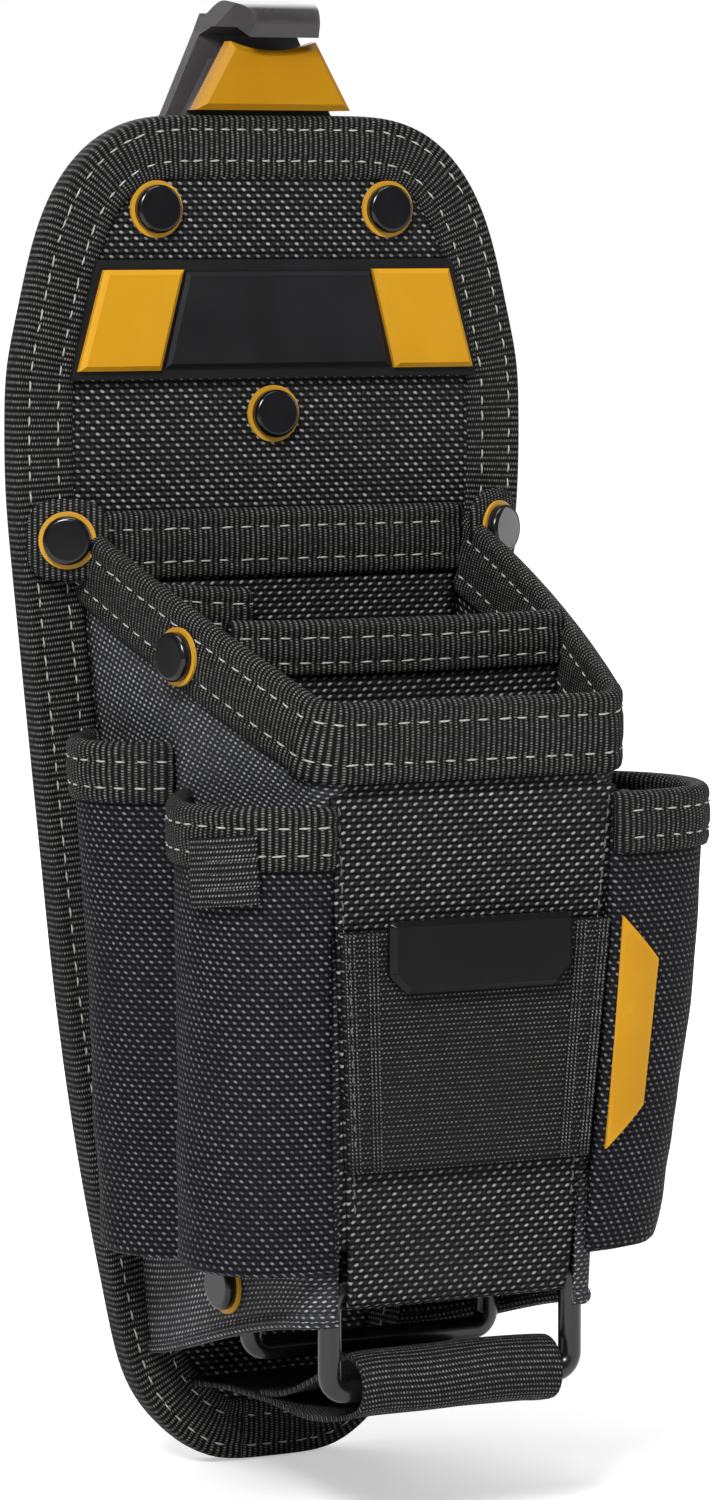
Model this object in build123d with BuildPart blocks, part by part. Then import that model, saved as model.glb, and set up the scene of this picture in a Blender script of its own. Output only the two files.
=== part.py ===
from build123d import *
from math import cos, radians, sin, sqrt
import os

os.makedirs("parts", exist_ok=True)

# ---------------------------------------------------------------- driving dimensions, mm
# Frame: origin at the centre of the belt slot, +Z up, -Y towards the front, +X to the viewer's right.
# Depths are measured down from the panel's top edge, reaches forward from the panel's front face.

belt_slot_gap = 8.0
bracket_thickness = 3.4
clearance = 0.3
fabric = 1.6

panel_thickness = 8.1
panel_tape = 0.8
panel_tape_width = 14.0
panel_skin = 0.8
panel_foam = 3.5
panel_board = 1.2

panel_face_y = -(belt_slot_gap / 2 + bracket_thickness + panel_thickness)
panel_top_z = 53.0

rivet_cap_radius = 5.6
rivet_ring_radius = 6.6
rivet_ring_thickness = 0.7
rivet_cap_height = 2.4
rivet_shaft_radius = 2.0
rivet_hole_radius = 2.05
panel_rivets = [(-30.0, -21.8), (30.0, -21.8), (0.0, -69.2)]

badge_top_depth = 33.4
badge_bottom_depth = 60.8
badge_top_half = 46.0
badge_bottom_half = 52.6
badge_base = 1.3
badge_bar = 1.6
badge_insert = 2.2

box_top_depth = 86.0
box_hem_depth = 290.0
mouth_rear_depth = 94.0
mouth_front_depth = 131.0
front_hem_depth = 250.2
floor_depth = 248.4
mouth_tape_height = 17.0
tape = 1.3
slot_play = 0.15
corner_radius = 7.0

strap_half = 25.0
webbing = 1.4

ring_outer_half = 33.0
ring_rod = 5.2
ring_drop = 22.6
ring_corner = 4.0
front_ring_reach = 87.0
front_ring_depth = 259.5
rear_ring_reach = 48.0
rear_ring_depth = 256.5
ring_bore = 3.0

pivot_depth = 12.0
pin_radius = 1.5
pin_bore_radius = 1.55


def face(reach):
    """World Y of a point this far in front of the panel's front face."""
    return panel_face_y - reach


def level(depth):
    """World Z of a point this far below the panel's top edge."""
    return panel_top_z - depth


def front_plane(reach):
    """Plane parallel to the panel, drawn as seen from the front, with Z as its second axis."""
    return Plane.XZ.offset(-face(reach))


def save(shape, name):
    """Name a finished piece and write it as its own file."""
    shape.label = name
    export_step(shape, f"parts/{name}.step")


def between(depth, top_value, hem_value):
    """A size of the box at one depth, changing evenly from its top to its hem."""
    share = (depth - box_top_depth) / (box_hem_depth - box_top_depth)
    return top_value + share * (hem_value - top_value)


# ---------------------------------------------------------------- padded back panel

# Points down the panel's right edge: half width, depth, and the outward direction there.
shoulder = [
    (25.0, 0.0, 0.0, 1.0),
    (46.5, 8.0, 0.6, 0.8),
    (58.0, 27.0, 0.87, 0.5),
    (64.2, 53.0, 0.98, 0.18),
    (66.0, 78.0, 1.0, 0.0),
]
flank = [
    (66.0, 78.0, 1.0, 0.0),
    (62.9, 115.0, 0.99, -0.1),
    (55.3, 192.0, 0.99, -0.15),
    (46.4, 252.0, 0.98, -0.2),
    (40.5, 281.0, 0.97, -0.22),
]
toe = [
    (40.5, 281.0, 0.97, -0.22),
    (33.6, 300.5, 0.85, -0.53),
    (22.5, 311.6, 0.5, -0.87),
    (9.0, 316.0, 0.0, -1.0),
]


def inset_points(stretch, inset):
    """The points of one stretch of the edge, moved inwards by the inset."""
    return [(x - inset * across, level(depth) - inset * up) for x, depth, across, up in stretch]


def panel_outline(inset):
    """Closed outline of the panel, moved inwards by the inset."""
    with BuildLine() as outline:
        top = inset_points(shoulder, inset)
        side = inset_points(flank, inset)
        bottom = inset_points(toe, inset)
        Line((0, top[0][1]), top[0])
        Spline(*top, tangents=[(1, 0), (0, -1)])
        Spline(*side, tangents=[(0, -1), (-0.2, -1)])
        Spline(*bottom, tangents=[(-0.2, -1), (-1, 0)])
        Line(bottom[-1], (0, bottom[-1][1]))
        mirror(about=Plane.YZ)
    return outline.edges()


rivet_spots = [(x, panel_top_z + z) for x, z in panel_rivets]


def panel_layer(depth_from_face, thickness):
    """One flat layer of the panel's sandwich, with holes for the three rivets."""
    with BuildPart() as layer:
        with BuildSketch(front_plane(-depth_from_face)):
            make_face(panel_outline(2 * panel_tape))
            with Locations(*rivet_spots):
                Circle(rivet_hole_radius, mode=Mode.SUBTRACT)
        extrude(amount=-thickness)
    return layer.part


skin_start = panel_tape + 0.1
foam_start = skin_start + panel_skin
board_start = foam_start + panel_foam
rear_skin_start = board_start + panel_board

save(panel_layer(skin_start, panel_skin), "panel_front_fabric")
save(panel_layer(foam_start, panel_foam), "panel_foam_pad")
save(panel_layer(board_start, panel_board), "panel_stiffener_board")
save(panel_layer(rear_skin_start, panel_skin), "panel_rear_fabric")

with BuildPart() as panel_binding:
    with BuildSketch(front_plane(0)):
        make_face(panel_outline(0))
    extrude(amount=-panel_thickness)
    with BuildSketch(front_plane(0)):
        make_face(panel_outline(panel_tape_width))
    extrude(amount=-panel_thickness, mode=Mode.SUBTRACT)
    with BuildSketch(front_plane(-panel_tape)):
        make_face(panel_outline(panel_tape))
    extrude(amount=-(panel_thickness - 2 * panel_tape), mode=Mode.SUBTRACT)
save(panel_binding.part, "panel_binding")

# ---------------------------------------------------------------- badge across the panel


def badge_band(half_top, half_bottom, upper, lower):
    """Four corners of a band of the badge between two depths."""
    return [
        (-half_top, level(upper)),
        (half_top, level(upper)),
        (half_bottom, level(lower)),
        (-half_bottom, level(lower)),
    ]


badge_gap = 0.3
badge_outline = badge_band(badge_top_half, badge_bottom_half, badge_top_depth, badge_bottom_depth)
with BuildPart() as badge_plate:
    with BuildSketch(front_plane(badge_gap)):
        with BuildLine():
            Polyline(*badge_outline, close=True)
        make_face()
    extrude(amount=badge_base)
    with BuildSketch(front_plane(badge_gap + badge_base)):
        with BuildLine():
            Polyline(*badge_band(23.6, 29.0, 36.2, 58.2), close=True)
        make_face()
    extrude(amount=badge_bar)
    chamfer(badge_plate.faces().sort_by(Axis.Y)[0].edges(), length=0.9)
save(badge_plate.part, "badge_plate")


def badge_corner(side):
    """Raised slanted insert at one end of the badge."""
    with BuildPart() as insert:
        with BuildSketch(front_plane(badge_gap + badge_base)):
            with BuildLine():
                Polyline(
                    (side * 24.5, level(35.7)),
                    (side * 44.7, level(35.7)),
                    (side * 51.2, level(58.8)),
                    (side * 30.4, level(58.8)),
                    close=True,
                )
            make_face()
        extrude(amount=badge_insert)
        chamfer(insert.faces().sort_by(Axis.Y)[0].edges(), length=1.1)
    return insert.part


save(Compound(children=[badge_corner(-1), badge_corner(1)]), "badge_inserts")

# ---------------------------------------------------------------- rear bracket, thumb block and belt clip

bracket_rear = -(panel_thickness + bracket_thickness)
pivot_reach = bracket_rear - 6.0
ear_half = 19.0
ear_width = 5.0
tab_thickness = 2.0
thumb_rear = -3.5
thumb_front = 1.2


def side_plane(x):
    """Plane square to the pivot, drawn with Y forwards-backwards and Z up, extruded towards +X."""
    return Plane.YZ.offset(x)


def keystone(trim):
    """Outline of the thumb block, narrowed by trim at its sides and top."""
    top, middle, foot = level(-16.8 + trim), level(-14.8 + trim), level(-1.0)
    with BuildLine() as outline:
        Polyline((-11.0 + trim, top), (-20.0 + trim, foot), (20.0 - trim, foot), (11.0 - trim, top))
        ThreePointArc((11.0 - trim, top), (0, middle), (-11.0 + trim, top))
    return outline.edges()


with BuildPart() as rear_bracket:
    with BuildSketch(front_plane(-panel_thickness)) as bracket_shape:
        with BuildLine():
            Polyline(
                (-37.0, level(12.0)),
                (-31.0, level(5.0)),
                (31.0, level(5.0)),
                (37.0, level(12.0)),
                (37.0, level(34.0)),
                (24.0, level(82.0)),
                (-24.0, level(82.0)),
                (-37.0, level(34.0)),
                close=True,
            )
        make_face()
        fillet(bracket_shape.vertices(), radius=4.0)
        with Locations(*rivet_spots):
            Circle(rivet_hole_radius, mode=Mode.SUBTRACT)
    extrude(amount=-bracket_thickness)
    with BuildSketch(front_plane(-panel_thickness)):
        with BuildLine():
            Polyline(
                (-19.0, level(8.0)),
                (-19.0, level(0.0)),
                (-12.0, level(-13.0)),
                (12.0, level(-13.0)),
                (19.0, level(0.0)),
                (19.0, level(8.0)),
                close=True,
            )
        make_face()
    extrude(amount=-tab_thickness)
    with BuildSketch(front_plane(thumb_rear - clearance)):
        make_face(keystone(1.2))
    extrude(amount=-(panel_thickness + thumb_rear - clearance))
    for x in (-ear_half - ear_width, ear_half):
        with BuildSketch(side_plane(x)):
            with BuildLine():
                Polyline(
                    (face(bracket_rear) - 0.5, level(pivot_depth - 6.0)),
                    (face(pivot_reach), level(pivot_depth - 4.0)),
                    (face(pivot_reach) + 3.8, level(pivot_depth)),
                    (face(pivot_reach), level(pivot_depth + 4.0)),
                    (face(bracket_rear) - 0.5, level(pivot_depth + 6.0)),
                    close=True,
                )
            make_face()
            with Locations((face(pivot_reach), level(pivot_depth))):
                Circle(pin_radius + 0.01, mode=Mode.SUBTRACT)
        extrude(amount=ear_width)
save(rear_bracket.part, "rear_bracket")

with BuildPart() as thumb_block:
    with BuildSketch(front_plane(thumb_rear)):
        make_face(keystone(0))
    extrude(amount=thumb_front - thumb_rear)
    chamfer(thumb_block.faces().sort_by(Axis.Y)[0].edges(), length=1.4)
save(thumb_block.part, "thumb_block")

lever_front = face(bracket_rear) + 1.9
hook = [
    (face(7.0), level(-20.6)),
    (face(4.6), level(-24.4)),
    (face(-3.0), level(-26.0)),
    (face(-10.0), level(-25.6)),
    (lever_front + 2.6, level(-22.8)),
    (lever_front + 4.0, level(-18.0)),
]
with BuildPart() as clip_lever:
    with BuildSketch(side_plane(-30.0)):
        with BuildLine():
            lip = (face(5.6), level(-17.6))
            Polyline(
                (lever_front, level(pivot_depth - 8.0)),
                (lever_front, level(-18.5)),
                (face(-8.0), level(-20.4)),
                (face(1.0), level(-20.0)),
                lip,
                hook[0],
            )
            Spline(*hook, tangents=[(0, 1), (0, -1)])
            Polyline(
                hook[-1],
                (lever_front + 3.6, level(0.0)),
                (lever_front + 9.4, level(pivot_depth - 5.0)),
                (lever_front + 10.2, level(pivot_depth + 4.0)),
                (lever_front + 10.2, level(70.0)),
                (lever_front + 8.0, level(88.0)),
                (lever_front + 3.0, level(96.5)),
                (face(-panel_thickness) + 0.9, level(97.5)),
                (face(-panel_thickness) + 0.6, level(94.5)),
                (lever_front + 2.4, level(90.5)),
                (face(bracket_rear) + belt_slot_gap, level(84.0)),
                (face(bracket_rear) + belt_slot_gap, level(pivot_depth + 7.0)),
                (face(bracket_rear) + 2.6, level(pivot_depth + 3.6)),
                (face(bracket_rear) + 2.6, level(pivot_depth - 3.6)),
                (lever_front, level(pivot_depth - 8.0)),
            )
        make_face()
    extrude(amount=60.0)
    with BuildSketch(front_plane(40.0)):
        with BuildLine():
            Polyline(
                (-7.6, level(-32.0)),
                (7.6, level(-32.0)),
                (12.4, level(-19.4)),
                (21.8, level(1.0)),
                (27.0, level(12.0)),
                (27.0, level(66.0)),
                (20.0, level(104.0)),
                (-20.0, level(104.0)),
                (-27.0, level(66.0)),
                (-27.0, level(12.0)),
                (-21.8, level(1.0)),
                (-12.4, level(-19.4)),
                close=True,
            )
        make_face()
    extrude(amount=-100.0, mode=Mode.INTERSECT)
    for side in (-1, 1):
        with BuildSketch(Plane.XY.offset(level(-10.0))):
            with BuildLine():
                Polyline(
                    (side * 7.8, face(9.5)),
                    (side * 30.0, face(9.5)),
                    (side * 30.0, face(-11.0)),
                    (side * 13.2, face(-11.0)),
                    close=True,
                )
            make_face()
        extrude(amount=20.0, mode=Mode.SUBTRACT)
    with BuildSketch(side_plane(-ear_half - ear_width - clearance)):
        with Locations((face(pivot_reach), level(pivot_depth))):
            Rectangle(10.5, 13.0)
    extrude(amount=ear_width + 2 * clearance, mode=Mode.SUBTRACT)
    with BuildSketch(side_plane(ear_half - clearance)):
        with Locations((face(pivot_reach), level(pivot_depth))):
            Rectangle(10.5, 13.0)
    extrude(amount=ear_width + 2 * clearance, mode=Mode.SUBTRACT)
    with BuildSketch(side_plane(-9.0)):
        with Locations((face(pivot_reach), level(pivot_depth))):
            Circle(3.9)
    extrude(amount=18.0, mode=Mode.SUBTRACT)
    with BuildSketch(side_plane(-30.0)):
        with Locations((face(pivot_reach), level(pivot_depth))):
            Circle(pin_bore_radius)
    extrude(amount=60.0, mode=Mode.SUBTRACT)
save(clip_lever.part, "clip_lever")

with BuildPart() as hinge_pin:
    with BuildSketch(side_plane(-ear_half - ear_width)):
        with Locations((face(pivot_reach), level(pivot_depth))):
            Circle(pin_radius)
    extrude(amount=2 * (ear_half + ear_width))
save(hinge_pin.part, "hinge_pin")

spring_wire = 0.9
spring_coils = 7
with BuildPart() as torsion_spring:
    for turn in range(spring_coils):
        coil_x = (turn - (spring_coils - 1) / 2) * (spring_wire + 0.12)
        with BuildSketch(Plane.XY.offset(level(pivot_depth))):
            with Locations((coil_x, face(pivot_reach) + 2.6)):
                Circle(spring_wire / 2)
        revolve(axis=Axis((0, face(pivot_reach), level(pivot_depth)), (1, 0, 0)))
save(torsion_spring.part, "torsion_spring")

# ---------------------------------------------------------------- rivets


def rivet_plane(x, reach, depth, turn):
    """Plane of a rivet's seat, its normal turned from straight ahead towards the viewer's right."""
    right = (cos(radians(turn)), sin(radians(turn)), 0)
    normal = (sin(radians(turn)), -cos(radians(turn)), 0)
    return Plane(origin=(x, face(reach), level(depth)), x_dir=right, z_dir=normal)


def seat_axis(seat):
    """Axis along a rivet, pointing out of its cap."""
    return Axis(seat.origin, seat.z_dir)


def rivet_cap(seat, shaft_length):
    """Domed cap with its shaft behind it."""
    with BuildPart() as cap:
        with BuildSketch(seat.offset(rivet_ring_thickness)):
            Circle(rivet_cap_radius)
        extrude(amount=rivet_cap_height)
        fillet(cap.faces().sort_by(seat_axis(seat))[-1].edges(), radius=1.1)
        with BuildSketch(seat.offset(rivet_ring_thickness)):
            Circle(rivet_shaft_radius)
        extrude(amount=-shaft_length)
    return cap.part


def rivet_ring(seat, thickness=rivet_ring_thickness, radius=rivet_ring_radius):
    """Flat ring round a rivet's shaft."""
    with BuildPart() as ring:
        with BuildSketch(seat):
            Circle(radius)
            Circle(rivet_hole_radius, mode=Mode.SUBTRACT)
        extrude(amount=thickness)
    return ring.part


panel_seats = [rivet_plane(x, -skin_start + 0.02, -z, 0) for x, z in panel_rivets]
shaft = panel_thickness - skin_start + bracket_thickness + 1.2
save(Compound(children=[rivet_cap(seat, shaft) for seat in panel_seats]), "panel_rivet_caps")
save(Compound(children=[rivet_ring(seat) for seat in panel_seats]), "panel_rivet_rings")
back_seats = [rivet_plane(x, bracket_rear - 1.1, -z, 0) for x, z in panel_rivets]
save(Compound(children=[rivet_ring(seat, 1.0, 5.0) for seat in back_seats]), "panel_rivet_backs")

# ---------------------------------------------------------------- main box of the pouch

box_rear_half = (51.5, 33.0)
box_mid_half = (48.4, 37.2)
box_front_half = (39.6, 36.2)
box_front_reach = (100.0, 88.4)
box_mid_reach = 48.0


def box_size(sizes, depth):
    """One of the box's sizes at a depth, from its value at the top and at the hem."""
    return between(depth, sizes[0], sizes[1])


def box_section(depth, grow):
    """Plan outline of the box at a depth, moved outwards by grow; open to nothing, closed at the panel."""
    rear = box_size(box_rear_half, depth) + grow
    middle = box_size(box_mid_half, depth) + grow
    front = box_size(box_front_half, depth) + grow
    front_y = face(box_size(box_front_reach, depth) + grow)
    radius = corner_radius + grow
    middle_y = face(box_mid_reach)
    bend_y = front_y + radius
    rear_y = face(clearance)
    knee = radius * (1 - sqrt(0.5))
    with BuildLine() as outline:
        Line((rear, rear_y), (-rear, rear_y))
        ThreePointArc((-rear, rear_y), (-middle, middle_y), (-front, bend_y))
        ThreePointArc((-front, bend_y), (-front + knee, front_y + knee), (-front + radius, front_y))
        Line((-front + radius, front_y), (front - radius, front_y))
        ThreePointArc((front - radius, front_y), (front - knee, front_y + knee), (front, bend_y))
        ThreePointArc((front, bend_y), (middle, middle_y), (rear, rear_y))
    return outline.edges()


def box_core(grow, upper=box_top_depth, lower=box_hem_depth):
    """Solid of the box grown outwards by grow, between two depths."""
    with BuildPart() as core:
        for depth in (upper, lower):
            with BuildSketch(Plane.XY.offset(level(depth))):
                make_face(box_section(depth, grow))
        loft()
    return core.part


mouth_line = [(0.0, mouth_rear_depth), (40.0, 108.0), (72.0, 120.0), (100.0, mouth_front_depth)]
hem_line = [(0.0, 287.0), (21.0, 282.5), (50.0, 274.5), (75.0, 268.5), (88.0, 266.5)]


def side_view(top_drop, bottom):
    """Region of the box's side seen from the right: below the mouth line, above the given points."""
    with BuildLine() as region:
        upper = [(face(reach), level(depth + top_drop)) for reach, depth in mouth_line]
        lower = [(face(reach), level(depth)) for reach, depth in bottom]
        Spline(*upper)
        Line(upper[-1], (face(112.0), upper[-1][1]))
        Line((face(112.0), upper[-1][1]), (face(112.0), lower[-1][1]))
        Line((face(112.0), lower[-1][1]), lower[-1])
        Spline(*reversed(lower))
        Line(lower[0], upper[0])
    return region.edges()


def side_cut(top_drop, bottom):
    """Slab across the whole box with that side view."""
    with BuildPart() as slab:
        with BuildSketch(side_plane(-80.0)):
            make_face(side_view(top_drop, bottom))
        extrude(amount=160.0)
    return slab.part


flange_seats = [rivet_plane(side * 56.0, 6.4, 97.0, side * 27.5) for side in (-1, 1)]
wall_seats = [rivet_plane(side * 48.6, 49.3, 121.0, side * 79.0) for side in (-1, 1)]
low_seats = [rivet_plane(side * 39.1, 53.5, 262.5, side * 86.5) for side in (-1, 1)]
side_rivet_seats = flange_seats + wall_seats + low_seats
side_shaft = 3.0


def rivet_room():
    """Holes for the side rivets' shafts, and room in front of the two flange rivets."""
    with BuildPart() as room:
        for seat in side_rivet_seats:
            with BuildSketch(seat.offset(-4 * side_shaft)):
                Circle(rivet_hole_radius)
            extrude(amount=6 * side_shaft)
        for seat in flange_seats:
            with BuildSketch(seat):
                Circle(rivet_ring_radius + clearance)
            extrude(amount=4 * rivet_cap_height)
    return room.part


save(Compound(children=[rivet_cap(seat, side_shaft) for seat in side_rivet_seats]), "side_rivet_caps")
save(Compound(children=[rivet_ring(seat) for seat in side_rivet_seats]), "side_rivet_rings")

wall_split_reach = 86.0
with BuildPart() as box_wrap:
    add(box_core(0))
    add(box_core(-fabric), mode=Mode.SUBTRACT)
    with BuildSketch(front_plane(-5.0)):
        Rectangle(200, 1000)
    extrude(amount=6.6 + fabric, mode=Mode.SUBTRACT)
    add(side_cut(0, hem_line), mode=Mode.INTERSECT)


def wall_part(low_x, high_x, near, far):
    """Piece of the box's wrap inside a block between two x values and two reaches."""
    with BuildPart() as wall:
        add(box_wrap.part)
        with BuildSketch(front_plane(near)):
            with Locations(((low_x + high_x) / 2, 0)):
                Rectangle(high_x - low_x, 1000)
        extrude(amount=far - near, mode=Mode.INTERSECT)
        with BuildSketch(front_plane(-1.0)):
            with Locations((0, level(94.0))):
                Rectangle(200, 30)
        extrude(amount=12.5, mode=Mode.SUBTRACT)
        add(rivet_room(), mode=Mode.SUBTRACT)
    return wall.part


save(wall_part(-80.0, 0.0, 0.0, wall_split_reach - clearance), "left_side_wall")
save(wall_part(0.0, 80.0, 0.0, wall_split_reach - clearance), "right_side_wall")
with BuildPart() as front_wall:
    add(wall_part(-80.0, 80.0, wall_split_reach, 110.0))
    with BuildSketch(Plane.XY.offset(level(front_hem_depth))):
        Rectangle(200, 600)
    extrude(amount=-60, mode=Mode.SUBTRACT)
save(front_wall.part, "front_wall")

with BuildPart() as floor_panel:
    add(box_core(-fabric - clearance, floor_depth, floor_depth + fabric))
    with BuildSketch(front_plane(-5.0)):
        Rectangle(200, 1000)
    extrude(amount=5.6 + clearance, mode=Mode.SUBTRACT)
save(floor_panel.part, "floor_panel")

mouth_low = [(reach, depth + mouth_tape_height) for reach, depth in mouth_line]
slot_low = [(reach, depth + 2 * mouth_tape_height) for reach, depth in mouth_line]
with BuildPart() as mouth_slot:
    add(box_core(slot_play, box_top_depth - 4, box_hem_depth - 60))
    add(box_core(-fabric - slot_play, box_top_depth - 6, box_hem_depth - 50), mode=Mode.SUBTRACT)
    add(side_cut(-slot_play, slot_low), mode=Mode.INTERSECT)

with BuildPart() as mouth_binding:
    add(box_core(tape + slot_play, box_top_depth - 4, box_hem_depth - 90))
    add(box_core(-fabric - tape - slot_play, box_top_depth - 6, box_hem_depth - 80), mode=Mode.SUBTRACT)
    with BuildSketch(front_plane(-5.0)):
        Rectangle(200, 1000)
    extrude(amount=5.0 + clearance, mode=Mode.SUBTRACT)
    add(side_cut(-tape, mouth_low), mode=Mode.INTERSECT)
    add(mouth_slot.part, mode=Mode.SUBTRACT)
    for flange in flange_seats:
        with BuildSketch(flange.offset(-tape)):
            RectangleRounded(19.0, 19.0, 5.0)
        extrude(amount=tape)
    add(rivet_room(), mode=Mode.SUBTRACT)
save(mouth_binding.part, "mouth_binding")

# ---------------------------------------------------------------- lining, divider and inner pocket


def inner_plate(reach, thickness, upper, lower, margin):
    """Flat sheet across the inside of the box, parallel to the panel, clear of the side walls."""
    with BuildPart() as plate:
        add(box_core(-fabric - margin, upper, lower))
        with BuildSketch(front_plane(reach)):
            Rectangle(400, 1000)
        extrude(amount=thickness, mode=Mode.INTERSECT)
    return plate.part


open_ends = -20.0


def tape_channel(reach, thickness, upper, height, margin):
    """Folded tape over the top edge of a flat sheet inside the box."""
    slot_thickness = thickness + 2 * slot_play
    slot = inner_plate(reach - slot_play, slot_thickness, upper - slot_play, upper + 2 * height, open_ends)
    with BuildPart() as channel:
        outer_reach = reach - tape - slot_play
        add(inner_plate(outer_reach, slot_thickness + 2 * tape, upper - tape, upper + height, margin))
        add(slot, mode=Mode.SUBTRACT)
    return channel.part


inner_margin = tape + slot_play + clearance
sheet_foot = floor_depth - clearance
save(inner_plate(1.8, 1.2, 92.0, sheet_foot, inner_margin), "rear_lining")
save(tape_channel(1.8, 1.2, 92.0, 15.0, inner_margin), "rear_lining_binding")
save(inner_plate(60.2, fabric, 113.6, sheet_foot, inner_margin), "divider")
save(tape_channel(60.2, fabric, 113.6, 11.5, inner_margin), "divider_binding")

pocket_left = -42.0
pocket_right = -12.0
pocket_reach = 4.8
pocket_depth = 7.0
pocket_top = 108.0
pocket_foot = 176.0
pocket_cloth = 1.2
pocket_middle = (pocket_left + pocket_right) / 2
pocket_width = pocket_right - pocket_left


def inner_pocket_block(grow, upper, lower, front_grow):
    """Block of the inner pocket, grown sideways and forwards."""
    with BuildPart() as block:
        with BuildSketch(front_plane(pocket_reach)):
            with Locations((pocket_middle, level((upper + lower) / 2))):
                Rectangle(pocket_width + 2 * grow, lower - upper)
        extrude(amount=pocket_depth + front_grow)
    return block.part


with BuildPart() as inner_pocket:
    add(inner_pocket_block(0, pocket_top, pocket_foot, 0))
    lowest = pocket_foot - pocket_cloth
    add(inner_pocket_block(-pocket_cloth, pocket_top - 5, lowest, -pocket_cloth), mode=Mode.SUBTRACT)
save(inner_pocket.part, "inner_pocket")

slot_inside = -pocket_cloth - slot_play
with BuildPart() as inner_pocket_slot:
    add(inner_pocket_block(slot_play, pocket_top - slot_play, pocket_top + 15.0, slot_play))
    add(inner_pocket_block(slot_inside, pocket_top - 5, pocket_top + 15.0, slot_inside), mode=Mode.SUBTRACT)

with BuildPart() as inner_pocket_binding:
    add(inner_pocket_block(tape, pocket_top - tape, pocket_top + 10.0, tape))
    bore = -pocket_cloth - tape
    add(inner_pocket_block(bore, pocket_top - 5, pocket_top + 15.0, bore), mode=Mode.SUBTRACT)
    add(inner_pocket_slot.part, mode=Mode.SUBTRACT)
save(inner_pocket_binding.part, "inner_pocket_binding")

# ---------------------------------------------------------------- side pockets

# Plan points of a pocket's outer face, at its rim and at its foot: half width and reach.
front_foot = [(40.5, 47.5), (52.0, 57.0), (58.0, 73.0), (51.5, 87.0), (32.0, 93.4)]
front_pocket = {"foot": front_foot, "heart": (46.0, 76.0), "rim_depth": 152.0, "foot_depth": 254.5}
rear_pocket = {"heart": (50.0, 22.0), "rim_depth": 142.0, "foot_depth": 258.5}
pockets = {
    "left_front": dict(
        front_pocket,
        side=-1,
        rim=[(46.5, 46.5), (53.0, 56.0), (60.0, 74.0), (54.0, 92.0), (37.6, 98.6)],
    ),
    "right_front": dict(
        front_pocket,
        side=1,
        rim=[(49.0, 46.5), (62.0, 56.0), (68.5, 74.0), (60.5, 92.0), (37.6, 98.6)],
    ),
    "left_rear": dict(
        rear_pocket,
        side=-1,
        rim=[(49.5, 2.0), (55.0, 9.0), (61.5, 24.0), (57.0, 36.0), (48.0, 41.5)],
        foot=[(38.5, 2.0), (47.5, 8.0), (54.0, 24.0), (48.0, 36.0), (41.0, 41.5)],
    ),
    "right_rear": dict(
        rear_pocket,
        side=1,
        rim=[(52.0, 2.0), (68.0, 9.0), (74.0, 24.0), (65.5, 36.0), (49.0, 41.5)],
        foot=[(38.5, 2.0), (52.0, 8.0), (58.0, 24.0), (50.0, 36.0), (41.0, 41.5)],
    ),
}


def pocket_points(pocket, depth, grow):
    """Plan points of a pocket's face at a depth, moved away from its heart by grow."""
    side = pocket["side"]
    share = (depth - pocket["rim_depth"]) / (pocket["foot_depth"] - pocket["rim_depth"])
    points = []
    for (rim_x, rim_reach), (foot_x, foot_reach) in zip(pocket["rim"], pocket["foot"]):
        x = rim_x + share * (foot_x - rim_x)
        reach = rim_reach + share * (foot_reach - rim_reach)
        away_x = x - pocket["heart"][0] + share * 8.0
        away_reach = reach - pocket["heart"][1]
        length = sqrt(away_x**2 + away_reach**2)
        points.append((side * (x + grow * away_x / length), face(reach + grow * away_reach / length)))
    return points


def pocket_core(pocket, upper, lower, grow):
    """Filled pocket between two depths, reaching into the box so that the box can be cut from it."""
    side = pocket["side"]
    with BuildPart() as core:
        for depth in (upper, lower):
            points = pocket_points(pocket, depth, grow)
            with BuildSketch(Plane.XY.offset(level(depth))) as section:
                front, rear = points[-1], points[0]
                with BuildLine():
                    Spline(*points)
                    Polyline(front, (side * 32.0, front[1] + 12.0), (side * 22.0, rear[1]), rear)
                make_face()
        loft()
    return core.part


box_clear = box_core(clearance)


def pocket_shell(pocket):
    """Pocket sewn to the box's side: a bulging face with a closed foot, open at its rim."""
    rim, foot = pocket["rim_depth"], pocket["foot_depth"]
    with BuildPart() as shell:
        add(pocket_core(pocket, rim, foot, 0))
        add(pocket_core(pocket, rim - 4, foot - fabric, -fabric), mode=Mode.SUBTRACT)
        add(box_clear, mode=Mode.SUBTRACT)
    return shell.part.solids().sort_by(SortBy.VOLUME)[-1]


pocket_tape_height = 13.0


def pocket_rim_tape(pocket):
    """Folded tape round a pocket's rim."""
    rim = pocket["rim_depth"]
    with BuildPart() as slot:
        add(pocket_core(pocket, rim - slot_play, rim + 24, slot_play))
        add(pocket_core(pocket, rim - 6, rim + 26, -fabric - slot_play), mode=Mode.SUBTRACT)
    with BuildPart() as rim_tape:
        add(pocket_core(pocket, rim - tape, rim + pocket_tape_height, tape + slot_play))
        add(pocket_core(pocket, rim - 6, rim + 20, -fabric - tape - slot_play), mode=Mode.SUBTRACT)
        add(slot.part, mode=Mode.SUBTRACT)
        add(box_clear, mode=Mode.SUBTRACT)
    return Part(children=[rim_tape.part.solids().sort_by(SortBy.VOLUME)[-1]])


for name, pocket in pockets.items():
    save(pocket_shell(pocket), f"{name}_pocket")
    save(pocket_rim_tape(pocket), f"{name}_pocket_binding")

# ---------------------------------------------------------------- front band, webbing panel and trim

band_top = (34.6, 149.0)
band_foot_half = 26.6
ring_y = face(front_ring_reach)
ring_z = level(front_ring_depth)


def front_face_reach(depth):
    """Reach of the box's front wall at a depth."""
    return box_size(box_front_reach, depth)


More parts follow.
